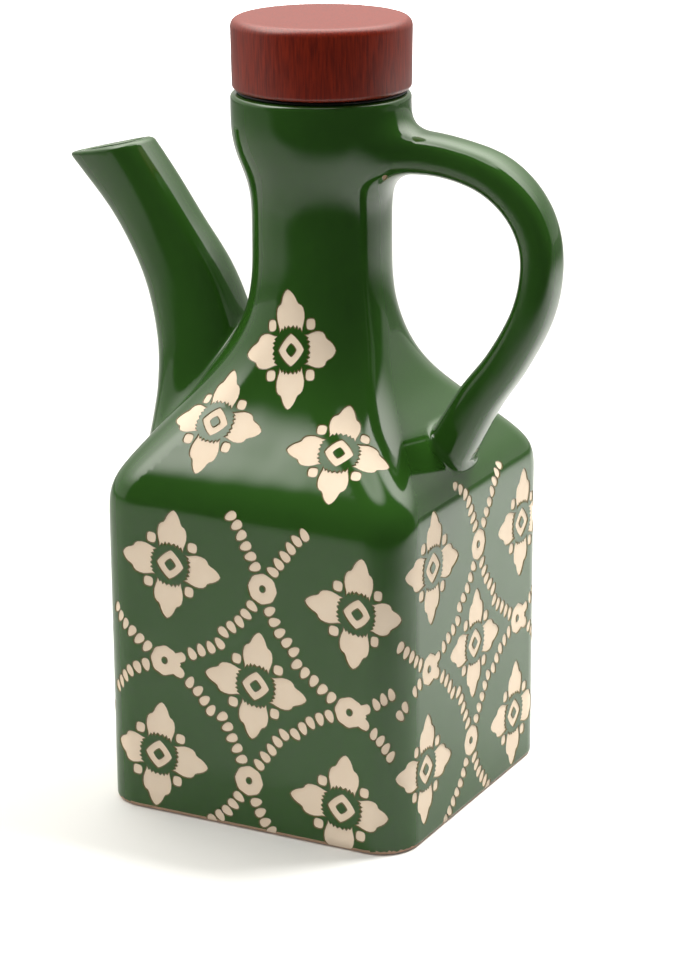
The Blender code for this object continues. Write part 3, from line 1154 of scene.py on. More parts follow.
class Ornament:
    """All the motifs, cut through the glaze.

    The numbers at the end are the room that a bead needs, in mm: from a bead of its own face and
    of the next one, from a flower along its petals and between them, and from a boss.
    """

    FACES = (
        FaceLattice((2.69, 38.81), math.radians(5.16), loose_end=0.55),
        FaceLattice((-0.49, 42.77), math.radians(3.92), loose_end=0.64),
        FaceLattice((1.2, 40.4), math.radians(3.1)),
        FaceLattice((-1.4, 41.6), math.radians(4.4)),
    )
    SHOULDER = (
        ShoulderFlower(1.8, 118.7, (0.9, 1.06), 9.0),
        ShoulderFlower(-14.4, 101.0, (0.93, 0.98), -4.0),
        ShoulderFlower(20.4, 98.3, (0.98, 0.95), -1.0),
    )
    PINHOLE = (20.4, -6.5, 160.3)
    PINHOLE_TURN = 0.2
    BEAD_ROOM, CORNER_ROOM = 2.5, 3.6
    PETAL_ROOM, FLOWER_ROOM, PETAL_HALF = 15.9, 11.5, 0.3
    BOSS_ROOM = 5.35

    def __init__(self, shape: PotShape, finish: dict[str, bpy.types.Material]) -> None:
        """Keeps the pot's shape and the finishes by name."""
        self.shape = shape
        self.finish = finish

    def stamps(self) -> list[Placed]:
        """Every motif on the pot.

        Returns:
            The motifs of the faces, the shoulder's flowers and the pinhole.
        """
        placed = self.apart([stamp for panel, lattice in enumerate(self.FACES)
                             for stamp in lattice.stamps(panel)])
        for back in (0, 1):
            for number, flower in enumerate(self.SHOULDER):
                panel = 4 + back * len(self.SHOULDER) + number
                turn = math.radians(flower.turn)
                placed.append(Placed(Stamp.FLOWER, (0, 0), turn, panel, flower.stretch))
        placed.append(Placed(Stamp.PINHOLE, (0, 0), self.PINHOLE_TURN, 4 + 2 * len(self.SHOULDER)))
        return placed

    def apart(self, stamps: Sequence[Placed]) -> list[Placed]:
        """Leaves out the beads that would run into another motif.

        Args:
            stamps: Motifs of all four faces.

        Returns:
            Those that stay.
        """
        body = self.shape.body
        girth = 2 * body.flat_half + body.corner * math.pi / 2
        kept: list[tuple[np.ndarray, Placed]] = []
        for stamp in sorted(stamps, key=lambda s: s.stamp is Stamp.BEAD):
            here = np.array([stamp.place[0] + girth * stamp.panel, stamp.place[1]])
            clear = True
            for there, other in kept if stamp.stamp is Stamp.BEAD else ():
                gap = here - there
                gap[0] = (gap[0] + 2 * girth) % (4 * girth) - 2 * girth
                away = np.hypot(*gap)
                aside = math.atan2(gap[1], gap[0]) - other.turn
                off_petal = abs((aside + math.pi / 4) % (math.pi / 2) - math.pi / 4)
                room = {Stamp.BEAD: self.BEAD_ROOM if other.panel == stamp.panel else self.CORNER_ROOM,
                        Stamp.FLOWER: self.PETAL_ROOM if off_petal < self.PETAL_HALF else self.FLOWER_ROOM}
                clear = clear and away >= room.get(other.stamp, self.BOSS_ROOM)
            if clear:
                kept.append((here, stamp))
        return [stamp for _, stamp in kept]

    def tree(self) -> bpy.types.NodeTree:
        """Geometry Nodes that stamp one motif on every point, turned and stretched as the point says.

        Returns:
            The tree.
        """
        tree = bpy.data.node_groups.new("stamp_on_points", "GeometryNodeTree")
        sockets = (("Points", "NodeSocketGeometry"), ("Motif", "NodeSocketObject"),
                   ("Size", "NodeSocketFloat"), ("Floor Material", "NodeSocketMaterial"),
                   ("Edge Material", "NodeSocketMaterial"))
        for name, kind in sockets:
            tree.interface.new_socket(name, in_out="INPUT", socket_type=kind)
        tree.interface.new_socket("Cutters", in_out="OUTPUT", socket_type="NodeSocketGeometry")
        given = add_node(tree, "NodeGroupInput").outputs
        motif = add_node(tree, "GeometryNodeObjectInfo", {"As Instance": True}, {"Object": given["Motif"]})
        turn = add_node(tree, "GeometryNodeInputNamedAttribute", {"data_type": "FLOAT", "Name": "turn"})
        euler = add_node(tree, "ShaderNodeCombineXYZ", {}, {"Z": turn.outputs[0]})
        spin = add_node(tree, "FunctionNodeEulerToRotation", {}, {0: euler.outputs[0]})
        stretch = add_node(tree, "GeometryNodeInputNamedAttribute",
                           {"data_type": "FLOAT_VECTOR", "Name": "stretch"})
        size = add_node(tree, "ShaderNodeCombineXYZ", {"Z": 1.0}, {"X": given["Size"], "Y": given["Size"]})
        scale = add_node(tree, "ShaderNodeVectorMath", {"operation": "MULTIPLY"},
                         {0: stretch.outputs[0], 1: size.outputs[0]})
        stamped = add_node(tree, "GeometryNodeInstanceOnPoints", {}, {
            "Points": given["Points"], "Instance": motif.outputs["Geometry"], "Rotation": spin.outputs[0],
            "Scale": scale.outputs[0]})
        real = add_node(tree, "GeometryNodeRealizeInstances", {}, {0: stamped.outputs[0]})
        floor = add_node(tree, "GeometryNodeInputNamedAttribute", {"data_type": "BOOLEAN", "Name": "floor"})
        walls = add_node(tree, "GeometryNodeSetMaterial", {}, {
            "Geometry": real.outputs[0], "Material": given["Edge Material"]})
        floors = add_node(tree, "GeometryNodeSetMaterial", {}, {
            "Geometry": walls.outputs[0], "Selection": floor.outputs[0], "Material": given["Floor Material"]})
        add_node(tree, "NodeGroupOutput", {}, {0: floors.outputs[0]})
        return tree

    def cutters(self) -> bpy.types.Object:
        """Every cutter in place on the pot.

        Returns:
            One object with all of them.
        """
        tree = self.tree()
        names = {item.name: item.identifier for item in tree.interface.items_tree if item.in_out == "INPUT"}
        mapper = StampMapper(self.shape)
        stamps = self.stamps()
        parts = []
        for stamp in Stamp:
            chosen = [s for s in stamps if s.stamp is stamp]
            motif = Cutter().solid(stamp)
            points = mesh_object(f"points_{stamp.name.lower()}",
                                 np.array([(*s.place, 0) for s in chosen]) / MM, [])
            for name, kind, values in (("turn", "FLOAT", [s.turn for s in chosen]),
                                       ("panel", "INT", [s.panel for s in chosen])):
                points.data.attributes.new(name, kind, "POINT").data.foreach_set("value", values)
            stretch = points.data.attributes.new("stretch", "FLOAT_VECTOR", "POINT")
            stretch.data.foreach_set("vector", [value for s in chosen for value in (*s.stretch, 1.0)])
            modifier = points.modifiers.new("stamps", "NODES")
            modifier.node_group = tree
            modifier[names["Motif"]] = motif
            modifier[names["Size"]] = 1.0
            floor = "worn_foot_clay" if stamp is Stamp.PINHOLE else "bare_fired_clay"
            modifier[names["Floor Material"]] = self.finish[floor]
            modifier[names["Edge Material"]] = self.finish["glaze_edge"]
            graph = bpy.context.evaluated_depsgraph_get()
            mesh = bpy.data.meshes.new_from_object(points.evaluated_get(graph))
            panels = values_of(mesh.attributes["panel"].data, "value", 1, int)
            placed = mapper(values_of(mesh.vertices, "co", 3), panels) * MM
            mesh.vertices.foreach_set("co", placed.ravel())
            mesh.update()
            parts.append(linked(f"cut_{stamp.name.lower()}", mesh))
            for spare in (points, motif):
                bpy.data.objects.remove(spare)
        LOG.info("%d motifs", len(stamps))
        return joined("cutters", parts)


def joined(name: str, parts: Sequence[bpy.types.Object]) -> bpy.types.Object:
    """Several mesh objects made one.

    Args:
        name: Name of the result.
        parts: The objects.

    Returns:
        The first of them, with all meshes in it.
    """
    bpy.ops.object.select_all(action="DESELECT")
    for part in parts:
        part.select_set(True)
    bpy.context.view_layer.objects.active = parts[0]
    bpy.ops.object.join()
    parts[0].name = name
    parts[0].data.name = name
    return parts[0]


# Finishes


class Finish:
    """A procedural material on object coordinates."""

    name = "finish"

    def start(self, roughness: float, ior: float) -> tuple[bpy.types.Material, bpy.types.NodeTree,
                                                           bpy.types.Node]:
        """A material with only its shader.

        Args:
            roughness: Roughness of the shader.
            ior: Index of refraction of the shader.

        Returns:
            The material, its tree and its shader.
        """
        material = bpy.data.materials.new(self.name)
        material.use_nodes = True
        tree = material.node_tree
        tree.nodes.clear()
        shader = add_node(tree, "ShaderNodeBsdfPrincipled", {"Roughness": roughness, "IOR": ior})
        add_node(tree, "ShaderNodeOutputMaterial", {}, {"Surface": shader.outputs[0]})
        return material, tree, shader

    def place(self, tree: bpy.types.NodeTree, sizes: Sequence[float]) -> bpy.types.NodeSocket:
        """Object coordinates in which a pattern has its real size.

        Args:
            tree: The material's tree.
            sizes: Size of the pattern along x, y and z, mm.

        Returns:
            The coordinates.
        """
        coordinates = add_node(tree, "ShaderNodeTexCoord")
        mapping = add_node(tree, "ShaderNodeMapping", {"Scale": [1 / (size * MM) for size in sizes]},
                           {"Vector": coordinates.outputs["Object"]})
        return mapping.outputs[0]

    def relief(self, tree: bpy.types.NodeTree, shader: bpy.types.Node, height: bpy.types.NodeSocket,
               depth: float, strength: float) -> None:
        """Feeds a pattern to the shader as relief.

        Args:
            tree: The material's tree.
            shader: Its shader.
            height: The pattern.
            depth: Depth of the relief, mm.
            strength: Share of it that shows.
        """
        bump = add_node(tree, "ShaderNodeBump", {"Strength": strength, "Distance": depth * MM},
                        {"Height": height})
        tree.links.new(bump.outputs[0], shader.inputs["Normal"])


@dataclass(frozen=True)
class GreenGlaze(Finish):
    """Copper-green lead glaze over white clay, dipped and fired, so it is glossy and slightly wavy."""

    name: str = "green_lead_glaze"
    thick: str = "#274B17"
    thin: str = "#2B511A"
    roughness: float = 0.07
    ior: float = 1.6
    cloud_mm: float = 28.0
    wave_mm: float = 16.0
    wave_depth: float = 0.12

    def make(self) -> bpy.types.Material:
        """The glaze.

        Returns:
            The material.
        """
        material, tree, shader = self.start(self.roughness, self.ior)
        # The glaze pools deeper in some places: the eye sees soft, darker clouds in its green.
        clouds = add_node(tree, "ShaderNodeTexNoise", {"Scale": 1.0, "Detail": 3.0, "Roughness": 0.5},
                          {"Vector": self.place(tree, (self.cloud_mm,) * 3)})
        blend = add_node(tree, "ShaderNodeMapRange", {"From Min": 0.25, "From Max": 0.75},
                         {"Value": clouds.outputs[0]})
        colour = add_node(tree, "ShaderNodeMix",
                          {"data_type": "RGBA", 6: srgb(self.thick), 7: srgb(self.thin)},
                          {0: blend.outputs[0]})
        tree.links.new(colour.outputs[2], shader.inputs["Base Color"])
        # It flowed while it was hot: the eye sees its sharp reflections bend a little.
        waves = add_node(tree, "ShaderNodeTexNoise", {"Scale": 1.0, "Detail": 1.0},
                         {"Vector": self.place(tree, (self.wave_mm,) * 3)})
        self.relief(tree, shader, waves.outputs[0], self.wave_depth, 1.0)
        return material


@dataclass(frozen=True)
class BareClay(Finish):
    """Unglazed fired earthenware in the sunk ornament: matt, pale and finely grainy.

    The real grain is finer than a tenth of a millimetre, and is drawn as coarse as it needs to show.
    """

    name: str = "bare_fired_clay"
    pale: str = "#F4E2CC"
    dark: str = "#EDD8BF"
    roughness: float = 0.85
    ior: float = 1.5
    cloud_mm: float = 5.0
    grain_mm: float = 0.5
    grain_depth: float = 0.05

    def make(self) -> bpy.types.Material:
        """The clay.

        Returns:
            The material.
        """
        material, tree, shader = self.start(self.roughness, self.ior)
        # Iron and ash in the clay: the eye sees faint warmer spots in the cream.
        clouds = add_node(tree, "ShaderNodeTexNoise", {"Scale": 1.0, "Detail": 4.0},
                          {"Vector": self.place(tree, (self.cloud_mm,) * 3)})
        colour = add_node(tree, "ShaderNodeMix",
                          {"data_type": "RGBA", 6: srgb(self.dark), 7: srgb(self.pale)},
                          {0: clouds.outputs[0]})
        tree.links.new(colour.outputs[2], shader.inputs["Base Color"])
        # Open pores: the eye sees a dry surface without any shine.
        grain = add_node(tree, "ShaderNodeTexNoise", {"Scale": 1.0, "Detail": 2.0},
                         {"Vector": self.place(tree, (self.grain_mm,) * 3)})
        self.relief(tree, shader, grain.outputs[0], self.grain_depth, 0.5)
        return material


@dataclass(frozen=True)
class StainedWood(Finish):
    """Beech, turned, stained red-brown and oiled: a low sheen over fine upright fibres."""

    name: str = "stained_beech"
    light: str = "#92280C"
    dark: str = "#560C03"
    roughness: float = 0.36
    ior: float = 1.58
    grain_mm: float = 0.45
    length_mm: float = 7.0
    grain_depth: float = 0.05

    def make(self) -> bpy.types.Material:
        """The wood.

        Returns:
            The material.
        """
        material, tree, shader = self.start(self.roughness, self.ior)
        # The stain soaks into the soft fibres: the eye sees short, dark upright streaks.
        fibres = add_node(tree, "ShaderNodeTexNoise", {"Scale": 1.0, "Detail": 4.0, "Roughness": 0.6},
                          {"Vector": self.place(tree, (self.grain_mm, self.grain_mm, self.length_mm))})
        spread = add_node(tree, "ShaderNodeMapRange", {"From Min": 0.3, "From Max": 0.7},
                          {"Value": fibres.outputs[0]})
        colour = add_node(tree, "ShaderNodeMix",
                          {"data_type": "RGBA", 6: srgb(self.dark), 7: srgb(self.light)},
                          {0: spread.outputs[0]})
        tree.links.new(colour.outputs[2], shader.inputs["Base Color"])
        # The fibres stand out a little after turning: the eye sees the sheen break up.
        self.relief(tree, shader, fibres.outputs[0], self.grain_depth, 0.4)
        return material


@dataclass(frozen=True)
class PlainFinish(Finish):
    """A finish of one colour with a fine grain in its surface."""

    name: str = "plain"
    colour: str = "#101010"
    roughness: float = 0.5
    grain_mm: float = 0.4
    grain_depth: float = 0.02
    ior: float = 1.5

    def make(self) -> bpy.types.Material:
        """The finish.

        Returns:
            The material.
        """
        material, tree, shader = self.start(self.roughness, self.ior)
        shader.inputs["Base Color"].default_value = srgb(self.colour)
        # The grain keeps its highlights soft and a little uneven.
        grain = add_node(tree, "ShaderNodeTexNoise", {"Scale": 1.0, "Detail": 2.0},
                         {"Vector": self.place(tree, (self.grain_mm,) * 3)})
        self.relief(tree, shader, grain.outputs[0], self.grain_depth, 0.5)
        return material


# The pieces


@dataclass
class Pot:
    """The glazed pot with its spout and handle.

    Args:
        shape: The distance rule of the surface.
        finish: The finishes by name.
        grid: Spacing of the first mesh, mm. Its cells have to be smaller than the spout's wall.
        rounds: How often the first mesh is evened out.
        limits: Largest turns of the surface over an edge, in two passes, degrees.
        foot: Height of the unglazed foot line, mm.
        sight: Depth below the outline from which the surface is out of sight, mm.
        hollow: Height up to which flat faces that are out of sight are merged, mm.
        flat: Largest turn between faces that are merged, degrees.
    """

    LOW, HIGH = (-81.3, -44.1, -1.6), (67.2, 44.4, 181.2)
    SKINS = ("green_lead_glaze", "glaze_edge", "bare_fired_clay", "worn_foot_clay")

    shape: PotShape
    finish: dict[str, bpy.types.Material]
    grid: float = 1.45
    rounds: int = 3
    limits: tuple[float, float] = (24.0, 15.0)
    foot: float = 1.1
    sight: float = 2.5
    hollow: float = 100.0
    flat: float = 0.3

    def surface(self) -> bpy.types.Object:
        """The plain surface without the ornament.

        Returns:
            The pot, closed and smooth.
        """
        net = SurfaceNet(self.shape, self.LOW, self.HIGH, self.grid)
        vertices, quads = net.build()
        vertices = net.relax(vertices, quads, self.rounds)
        made = mesh_object("glazed_pot", vertices, quads.tolist())
        for limit in self.limits:
            self.refine(made, math.radians(limit))
        self.plain_out_of_sight(made)
        return made

    def plain_out_of_sight(self, made: bpy.types.Object) -> None:
        """Merges the flat faces of the hollow and the underside.

        Args:
            made: The pot's surface.
        """
        builder = bmesh.new()
        builder.from_mesh(made.data)
        builder.verts.ensure_lookup_table()
        places = np.array([v.co for v in builder.verts]) / MM
        hidden = (self.shape.side(places) < -self.sight) & (places[:, 2] < self.hollow)
        corners = [v for v, out_of_sight in zip(builder.verts, hidden) if out_of_sight]
        edges = [e for e in builder.edges if hidden[e.verts[0].index] and hidden[e.verts[1].index]]
        bmesh.ops.dissolve_limit(builder, angle_limit=math.radians(self.flat), verts=corners, edges=edges)
        bmesh.ops.triangulate(builder, faces=[f for f in builder.faces if len(f.verts) > 4])
        builder.to_mesh(made.data)
        builder.free()

    def refine(self, made: bpy.types.Object, limit: float) -> None:
        """Splits the edges in sight over which the surface turns too much.

        Args:
            made: The pot's surface.
            limit: Largest turn that stays, radians.
        """
        builder = bmesh.new()
        builder.from_mesh(made.data)
        builder.verts.ensure_lookup_table()
        places = np.array([v.co for v in builder.verts]) / MM
        ways = self.shape.gradient(places)
        pairs = np.array([(e.verts[0].index, e.verts[1].index) for e in builder.edges])
        turn = np.arccos(np.clip((ways[pairs[:, 0]] * ways[pairs[:, 1]]).sum(1), -1, 1))
        shown = self.shape.side(places)[pairs[:, 0]] > -self.sight
        builder.edges.ensure_lookup_table()
        split = [builder.edges[i] for i in np.nonzero((turn > limit) & shown)[0]]
        result = bmesh.ops.subdivide_edges(builder, edges=split, cuts=1, use_grid_fill=True)
        fresh = [g for g in result["geom_inner"] if isinstance(g, bmesh.types.BMVert)]
        settled = self.shape.settle(np.array([v.co for v in fresh]) / MM, 3)
        for vertex, place in zip(fresh, settled * MM):
            vertex.co = place
        bmesh.ops.triangulate(builder, faces=[f for f in builder.faces if len(f.verts) > 4])
        builder.to_mesh(made.data)
        builder.free()

    def build(self) -> bpy.types.Object:
        """The finished pot: its ornament is cut by one boolean, which brings the clay with it.

        Returns:
            The pot.
        """
        pot = self.surface()
        for name in self.SKINS:
            pot.data.materials.append(self.finish[name])
        cutters = Ornament(self.shape, self.finish).cutters()
        cut = pot.modifiers.new("ornament", "BOOLEAN")
        cut.operation = "DIFFERENCE"
        cut.solver = "MANIFOLD"
        cut.material_mode = "TRANSFER"
        cut.object = cutters
        graph = bpy.context.evaluated_depsgraph_get()
        mesh = bpy.data.meshes.new_from_object(pot.evaluated_get(graph))
        pot.modifiers.remove(cut)
        pot.data = mesh
        bpy.data.objects.remove(cutters)
        self.dress(pot)
        return pot

    def dress(self, pot: bpy.types.Object) -> None:
        """Sets the foot's material and the exact normals of the rule.

        Args:
            pot: The pot with its ornament cut.
        """
        mesh = pot.data
        names = [m.name for m in mesh.materials]
        index = values_of(mesh.polygons, "material_index", 1, np.int32)
        low = values_of(mesh.polygons, "center", 3)[:, 2] < self.foot * MM
        index[low & (index == names.index("green_lead_glaze"))] = names.index("worn_foot_clay")
        mesh.polygons.foreach_set("material_index", index)
        mesh.polygons.foreach_set("use_smooth", np.ones(len(mesh.polygons), bool))

        places = values_of(mesh.vertices, "co", 3) / MM
        ways = self.shape.gradient(places)
        corners = values_of(mesh.loops, "vertex_index", 1, np.int32)
        sizes = values_of(mesh.polygons, "loop_total", 1, np.int32)
        face_of = np.repeat(np.arange(len(sizes)), sizes)
        own = values_of(mesh.polygons, "normal", 3)[face_of]
        normals = ways[corners]
        wall = (index == names.index("glaze_edge"))[face_of]
        height = 1 - np.clip(np.abs(self.shape(places)) / Cutter().depth, 0, 1)[corners]
        slanted = own + ways[corners] * height[:, None]
        normals[wall] = slanted[wall]
        normals /= np.maximum(np.linalg.norm(normals, axis=1), 1e-9)[:, None]
        mesh.normals_split_custom_set(normals.tolist())
        mesh.update()


@dataclass(frozen=True)
class Turning:
    """A turned piece.

    Args:
        name: Its name.
        profile: Radius and height of each point of its outline, mm, down its outer side.
        steps: Number of faces round it.
        sharp: Smallest turn of an edge that stays sharp, degrees.
    """

    name: str
    profile: tuple[Point2, ...]
    steps: int = 128
    sharp: float = 35.0

    def build(self) -> bpy.types.Object:
        """Spins the profile round the upright axis.

        Returns:
            The turned piece.
        """
        builder = bmesh.new()
        made = [builder.verts.new((r * MM, 0, z * MM)) for r, z in self.profile]
        edges = [builder.edges.new(pair) for pair in zip(made, made[1:])]
        bmesh.ops.spin(builder, geom=made + edges, cent=(0, 0, 0), axis=(0, 0, 1), angle=2 * math.pi,
                       steps=self.steps, use_merge=True)
        bmesh.ops.remove_doubles(builder, verts=builder.verts, dist=1e-6)
        bmesh.ops.recalc_face_normals(builder, faces=builder.faces)
        mesh = bpy.data.meshes.new(self.name)
        builder.to_mesh(mesh)
        builder.free()
        mesh.polygons.foreach_set("use_smooth", [True] * len(mesh.polygons))
        mesh.set_sharp_from_angle(angle=math.radians(self.sharp))
        return linked(self.name, mesh)


def rounded(centre: Point2, radius: float, start: float, end: float, steps: int) -> list[Point2]:
    """Points along an arc, both ends included.

    Args:
        centre: Its centre, mm.
        radius: Its radius, mm.
        start: Where it starts, degrees.
        end: Where it ends, degrees.
        steps: Number of stretches.

    Returns:
        The points.
    """
    angles = [math.radians(start + (end - start) * i / steps) for i in range(steps + 1)]
    return [(centre[0] + radius * math.cos(a), centre[1] + radius * math.sin(a)) for a in angles]


@dataclass(frozen=True)
class Closure:
    """The wooden stopper and its black sealing ring, in mm.

    Args:
        finish: The finishes by name.
        rim: Height of the pot's rim.
        gap: Gap under and over the ring's flange.
        flange: Thickness of the flange.
        flange_radius: Its radius.
        plug_radius: Radius of the ring's plug at the top.
        plug_tip: Radius at its tip.
        plug_shoulder: Height of its straight part.
        plug_length: Its length.
        bore: Radius of its bore.
        radius: Radius of the stopper.
        height: Height of the stopper.
        top_edge: Radius round its top.
        bottom_edge: Radius round its underside.
        taper: How much narrower it is at the bottom.
        flange_edge: Radius round the flange.
    """

    finish: dict[str, bpy.types.Material]
    rim: float = 178.8
    gap: float = 0.12
    flange: float = 0.7
    flange_radius: float = 20.9
    plug_radius: float = 17.7
    plug_tip: float = 16.9
    plug_shoulder: float = 1.5
    plug_length: float = 9.0
    bore: float = 6.0
    radius: float = 22.2
    height: float = 17.4
    top_edge: float = 2.2
    bottom_edge: float = 1.2
    taper: float = 0.2
    flange_edge: float = 0.35

    def stopper(self) -> bpy.types.Object:
        """The turned stopper.

        Returns:
            The stopper.
        """
        low = self.rim + 2 * self.gap + self.flange
        top = low + self.height
        waist = self.radius - self.taper
        points = [(0, top), (self.radius * 0.5, top)]
        points += rounded((self.radius - self.top_edge, top - self.top_edge), self.top_edge, 90, 0, 8)
        points += rounded((waist - self.bottom_edge, low + self.bottom_edge), self.bottom_edge, 0, -90, 6)
        points += [(self.radius * 0.5, low), (0, low)]
        made = Turning("wooden_stopper", tuple(points), 160).build()
        made.data.materials.append(self.finish["stained_beech"])
        return made

    def seal(self) -> bpy.types.Object:
        """The sealing ring: a flange and a tapered plug with a bore.

        Returns:
            The ring.
        """
        low, edge = self.rim + self.gap, self.flange_edge
        top, tip = low + self.flange, low - self.plug_length
        points = [(self.bore, top)]
        points += rounded((self.flange_radius - edge, top - edge), edge, 90, 0, 4)
        points += rounded((self.flange_radius - edge, low + edge), edge, 0, -90, 4)
        points += [(self.plug_radius, low), (self.plug_radius, low - self.plug_shoulder)]
        points += [(self.plug_tip, tip), (self.bore, tip), (self.bore, top)]
        made = Turning("sealing_ring", tuple(points), 96).build()
        made.data.materials.append(self.finish["black_silicone"])
        return made


# The studio


@dataclass(frozen=True)
class StudioCamera:
    """The viewing place and lens, worked out for a 679 x 955 image.

    Args:
        place: Where it stands, mm.
        turn: How far it is turned from straight ahead (+Y) to the left, radians.
        tilt: How far it looks down, radians.
        roll: How far its upright leans, radians.
        focal_pixels: Focal length as a number of pixels of the image.
        image_height: Height of that image, pixels.
        sensor: Height of its sensor, mm.
        clip: Nearest and farthest distance that it sees, m.
    """

    place: Point3 = (343.428, -646.066, 307.923)
    turn: float = math.radians(27.7085)
    tilt: float = math.radians(17.29)
    roll: float = math.radians(-0.38)
    focal_pixels: float = 3024.8
    image_height: int = 955
    sensor: float = 36.0
    clip: Point2 = (0.01, 50.0)

    def build(self) -> None:
        """Adds the camera and makes it the scene's own."""
        ahead = Vector((-math.sin(self.turn) * math.cos(self.tilt),
                        math.cos(self.turn) * math.cos(self.tilt), -math.sin(self.tilt)))
        level = Vector((math.cos(self.turn), math.sin(self.turn), 0))
        upright = level.cross(ahead)
        right = math.cos(self.roll) * level + math.sin(self.roll) * upright
        up = math.cos(self.roll) * upright - math.sin(self.roll) * level
        data = bpy.data.cameras.new("studio_camera")
        data.sensor_fit = "VERTICAL"
        data.sensor_height = self.sensor
        data.lens = self.focal_pixels / self.image_height * self.sensor
        data.clip_start, data.clip_end = self.clip
        camera = bpy.data.objects.new("studio_camera", data)
        turn = Matrix((right, up, -ahead)).transposed().to_4x4()
        camera.matrix_world = Matrix.Translation(Vector(self.place) * MM) @ turn
        bpy.context.scene.collection.objects.link(camera)
        bpy.context.scene.camera = camera


@dataclass(frozen=True)
class LightTent:
    """A white tent round the pot, lit brightest overhead, with a wide dark opening towards the viewer.

    Args:
        horizon: Brightness of its walls at table height.
        crown: Brightness where the lamps shine through, from crown_height up.
        zenith: Brightness straight above.
        dark: Brightness of the room seen through the opening.
        rise_start: Height where the walls begin to brighten, degrees above the table.
        crown_height: Height where they are brightest, degrees.
        summit: Height where the top begins, degrees.
        opening: Middle of the opening, degrees from the front (-Y) towards the right (+X).
        half_width: Half the opening's width at table height, degrees.
        lean: How much narrower it is on each side for each degree of height.
        lintel: Height of the opening's upper edge, degrees above the table.
        soft: Half the width of the opening's soft edges, degrees.
        key: Extra brightness of the main lamp.
        key_place: Its direction: degrees from the front towards the right, and above the table.
        key_radius: Its size, degrees.
        key_core: The part of its size that is fully bright.
        tint: Colour of its light.
    """

    horizon: float = 0.6
    crown: float = 5.0
    zenith: float = 2.6
    dark: float = 0.05
    rise_start: float = 14.0
    crown_height: float = 62.0
    summit: float = 88.0
    opening: float = 41.0
    half_width: float = 89.0
    lean: float = 0.15
    lintel: float = 75.0
    soft: float = 4.5
    key: float = 1.8
    key_place: Point2 = (-62.0, 53.0)
    key_radius: float = 26.0
    key_core: float = 0.25
    tint: str = "#FFFDF7"

    def lamp(self, tree: bpy.types.NodeTree, way: bpy.types.NodeSocket) -> bpy.types.NodeSocket:
        """Extra brightness round the main lamp, fading outwards.

        Args:
            tree: The world's tree.
            way: The direction looked in.

        Returns:
            The brightness.
        """
        aside, up = (math.radians(angle) for angle in self.key_place)
        aim = (math.sin(aside) * math.cos(up), -math.cos(aside) * math.cos(up), math.sin(up))
        near = add_node(tree, "ShaderNodeVectorMath", {"operation": "DOT_PRODUCT", 1: aim}, {0: way})
        return add_node(tree, "ShaderNodeMapRange", {
            "interpolation_type": "SMOOTHSTEP", "From Min": math.cos(math.radians(self.key_radius)),
            "From Max": math.cos(math.radians(self.key_radius * self.key_core)), "To Max": self.key},
            {"Value": near.outputs["Value"]}).outputs[0]

    def build(self) -> None:
        """Makes the tent the scene's world."""
        world = bpy.data.worlds.new("light_tent")
        world.use_nodes = True
        tree = world.node_tree
        tree.nodes.clear()
        way = add_node(tree, "ShaderNodeTexCoord").outputs["Generated"]
        turned = add_node(tree, "ShaderNodeVectorRotate", {
            "rotation_type": "Z_AXIS", "Angle": -math.radians(self.opening)}, {"Vector": way}).outputs[0]
        part = add_node(tree, "ShaderNodeSeparateXYZ", {}, {0: turned}).outputs
        height = add_node(tree, "ShaderNodeMath", {"operation": "ARCSINE"}, {0: part["Z"]}).outputs[0]
        back = add_node(tree, "ShaderNodeMath", {"operation": "MULTIPLY", 1: -1.0}, {0: part["Y"]})
        bearing = add_node(tree, "ShaderNodeMath", {"operation": "ARCTAN2"},
                           {0: part["X"], 1: back.outputs[0]})
        aside = add_node(tree, "ShaderNodeMath", {"operation": "ABSOLUTE"}, {0: bearing.outputs[0]})
        leaned = add_node(tree, "ShaderNodeMath", {"operation": "MULTIPLY_ADD", 1: self.lean},
                          {0: height, 2: aside.outputs[0]}).outputs[0]
        spans = (
            (leaned, self.half_width - self.soft, self.half_width + self.soft, 0.0, 1.0),
            (height, self.lintel - self.soft, self.lintel + self.soft, 0.0, 1.0),
            (height, self.rise_start, self.crown_height, self.horizon, self.crown),
            (height, self.crown_height, self.summit, 0.0, self.zenith - self.crown),
        )
        jamb, lintel, rise, fall = (add_node(tree, "ShaderNodeMapRange", {
            "interpolation_type": "SMOOTHSTEP", "From Min": math.radians(low), "From Max": math.radians(high),
            "To Min": start, "To Max": end}, {"Value": value}).outputs[0]
            for value, low, high, start, end in spans)
        cloth = add_node(tree, "ShaderNodeMath", {"operation": "MAXIMUM"}, {0: jamb, 1: lintel})
        walls = add_node(tree, "ShaderNodeMath", {"operation": "ADD"}, {0: rise, 1: fall})
        lit = add_node(tree, "ShaderNodeMath", {"operation": "ADD"},
                       {0: walls.outputs[0], 1: self.lamp(tree, way)})
        strength = add_node(tree, "ShaderNodeMath", {"operation": "MULTIPLY_ADD", 2: self.dark},
                            {0: cloth.outputs[0], 1: lit.outputs[0]})
        background = add_node(tree, "ShaderNodeBackground", {"Color": srgb(self.tint)},
                              {"Strength": strength.outputs[0]})
        add_node(tree, "ShaderNodeOutputWorld", {}, {"Surface": background.outputs[0]})
        bpy.context.scene.world = world


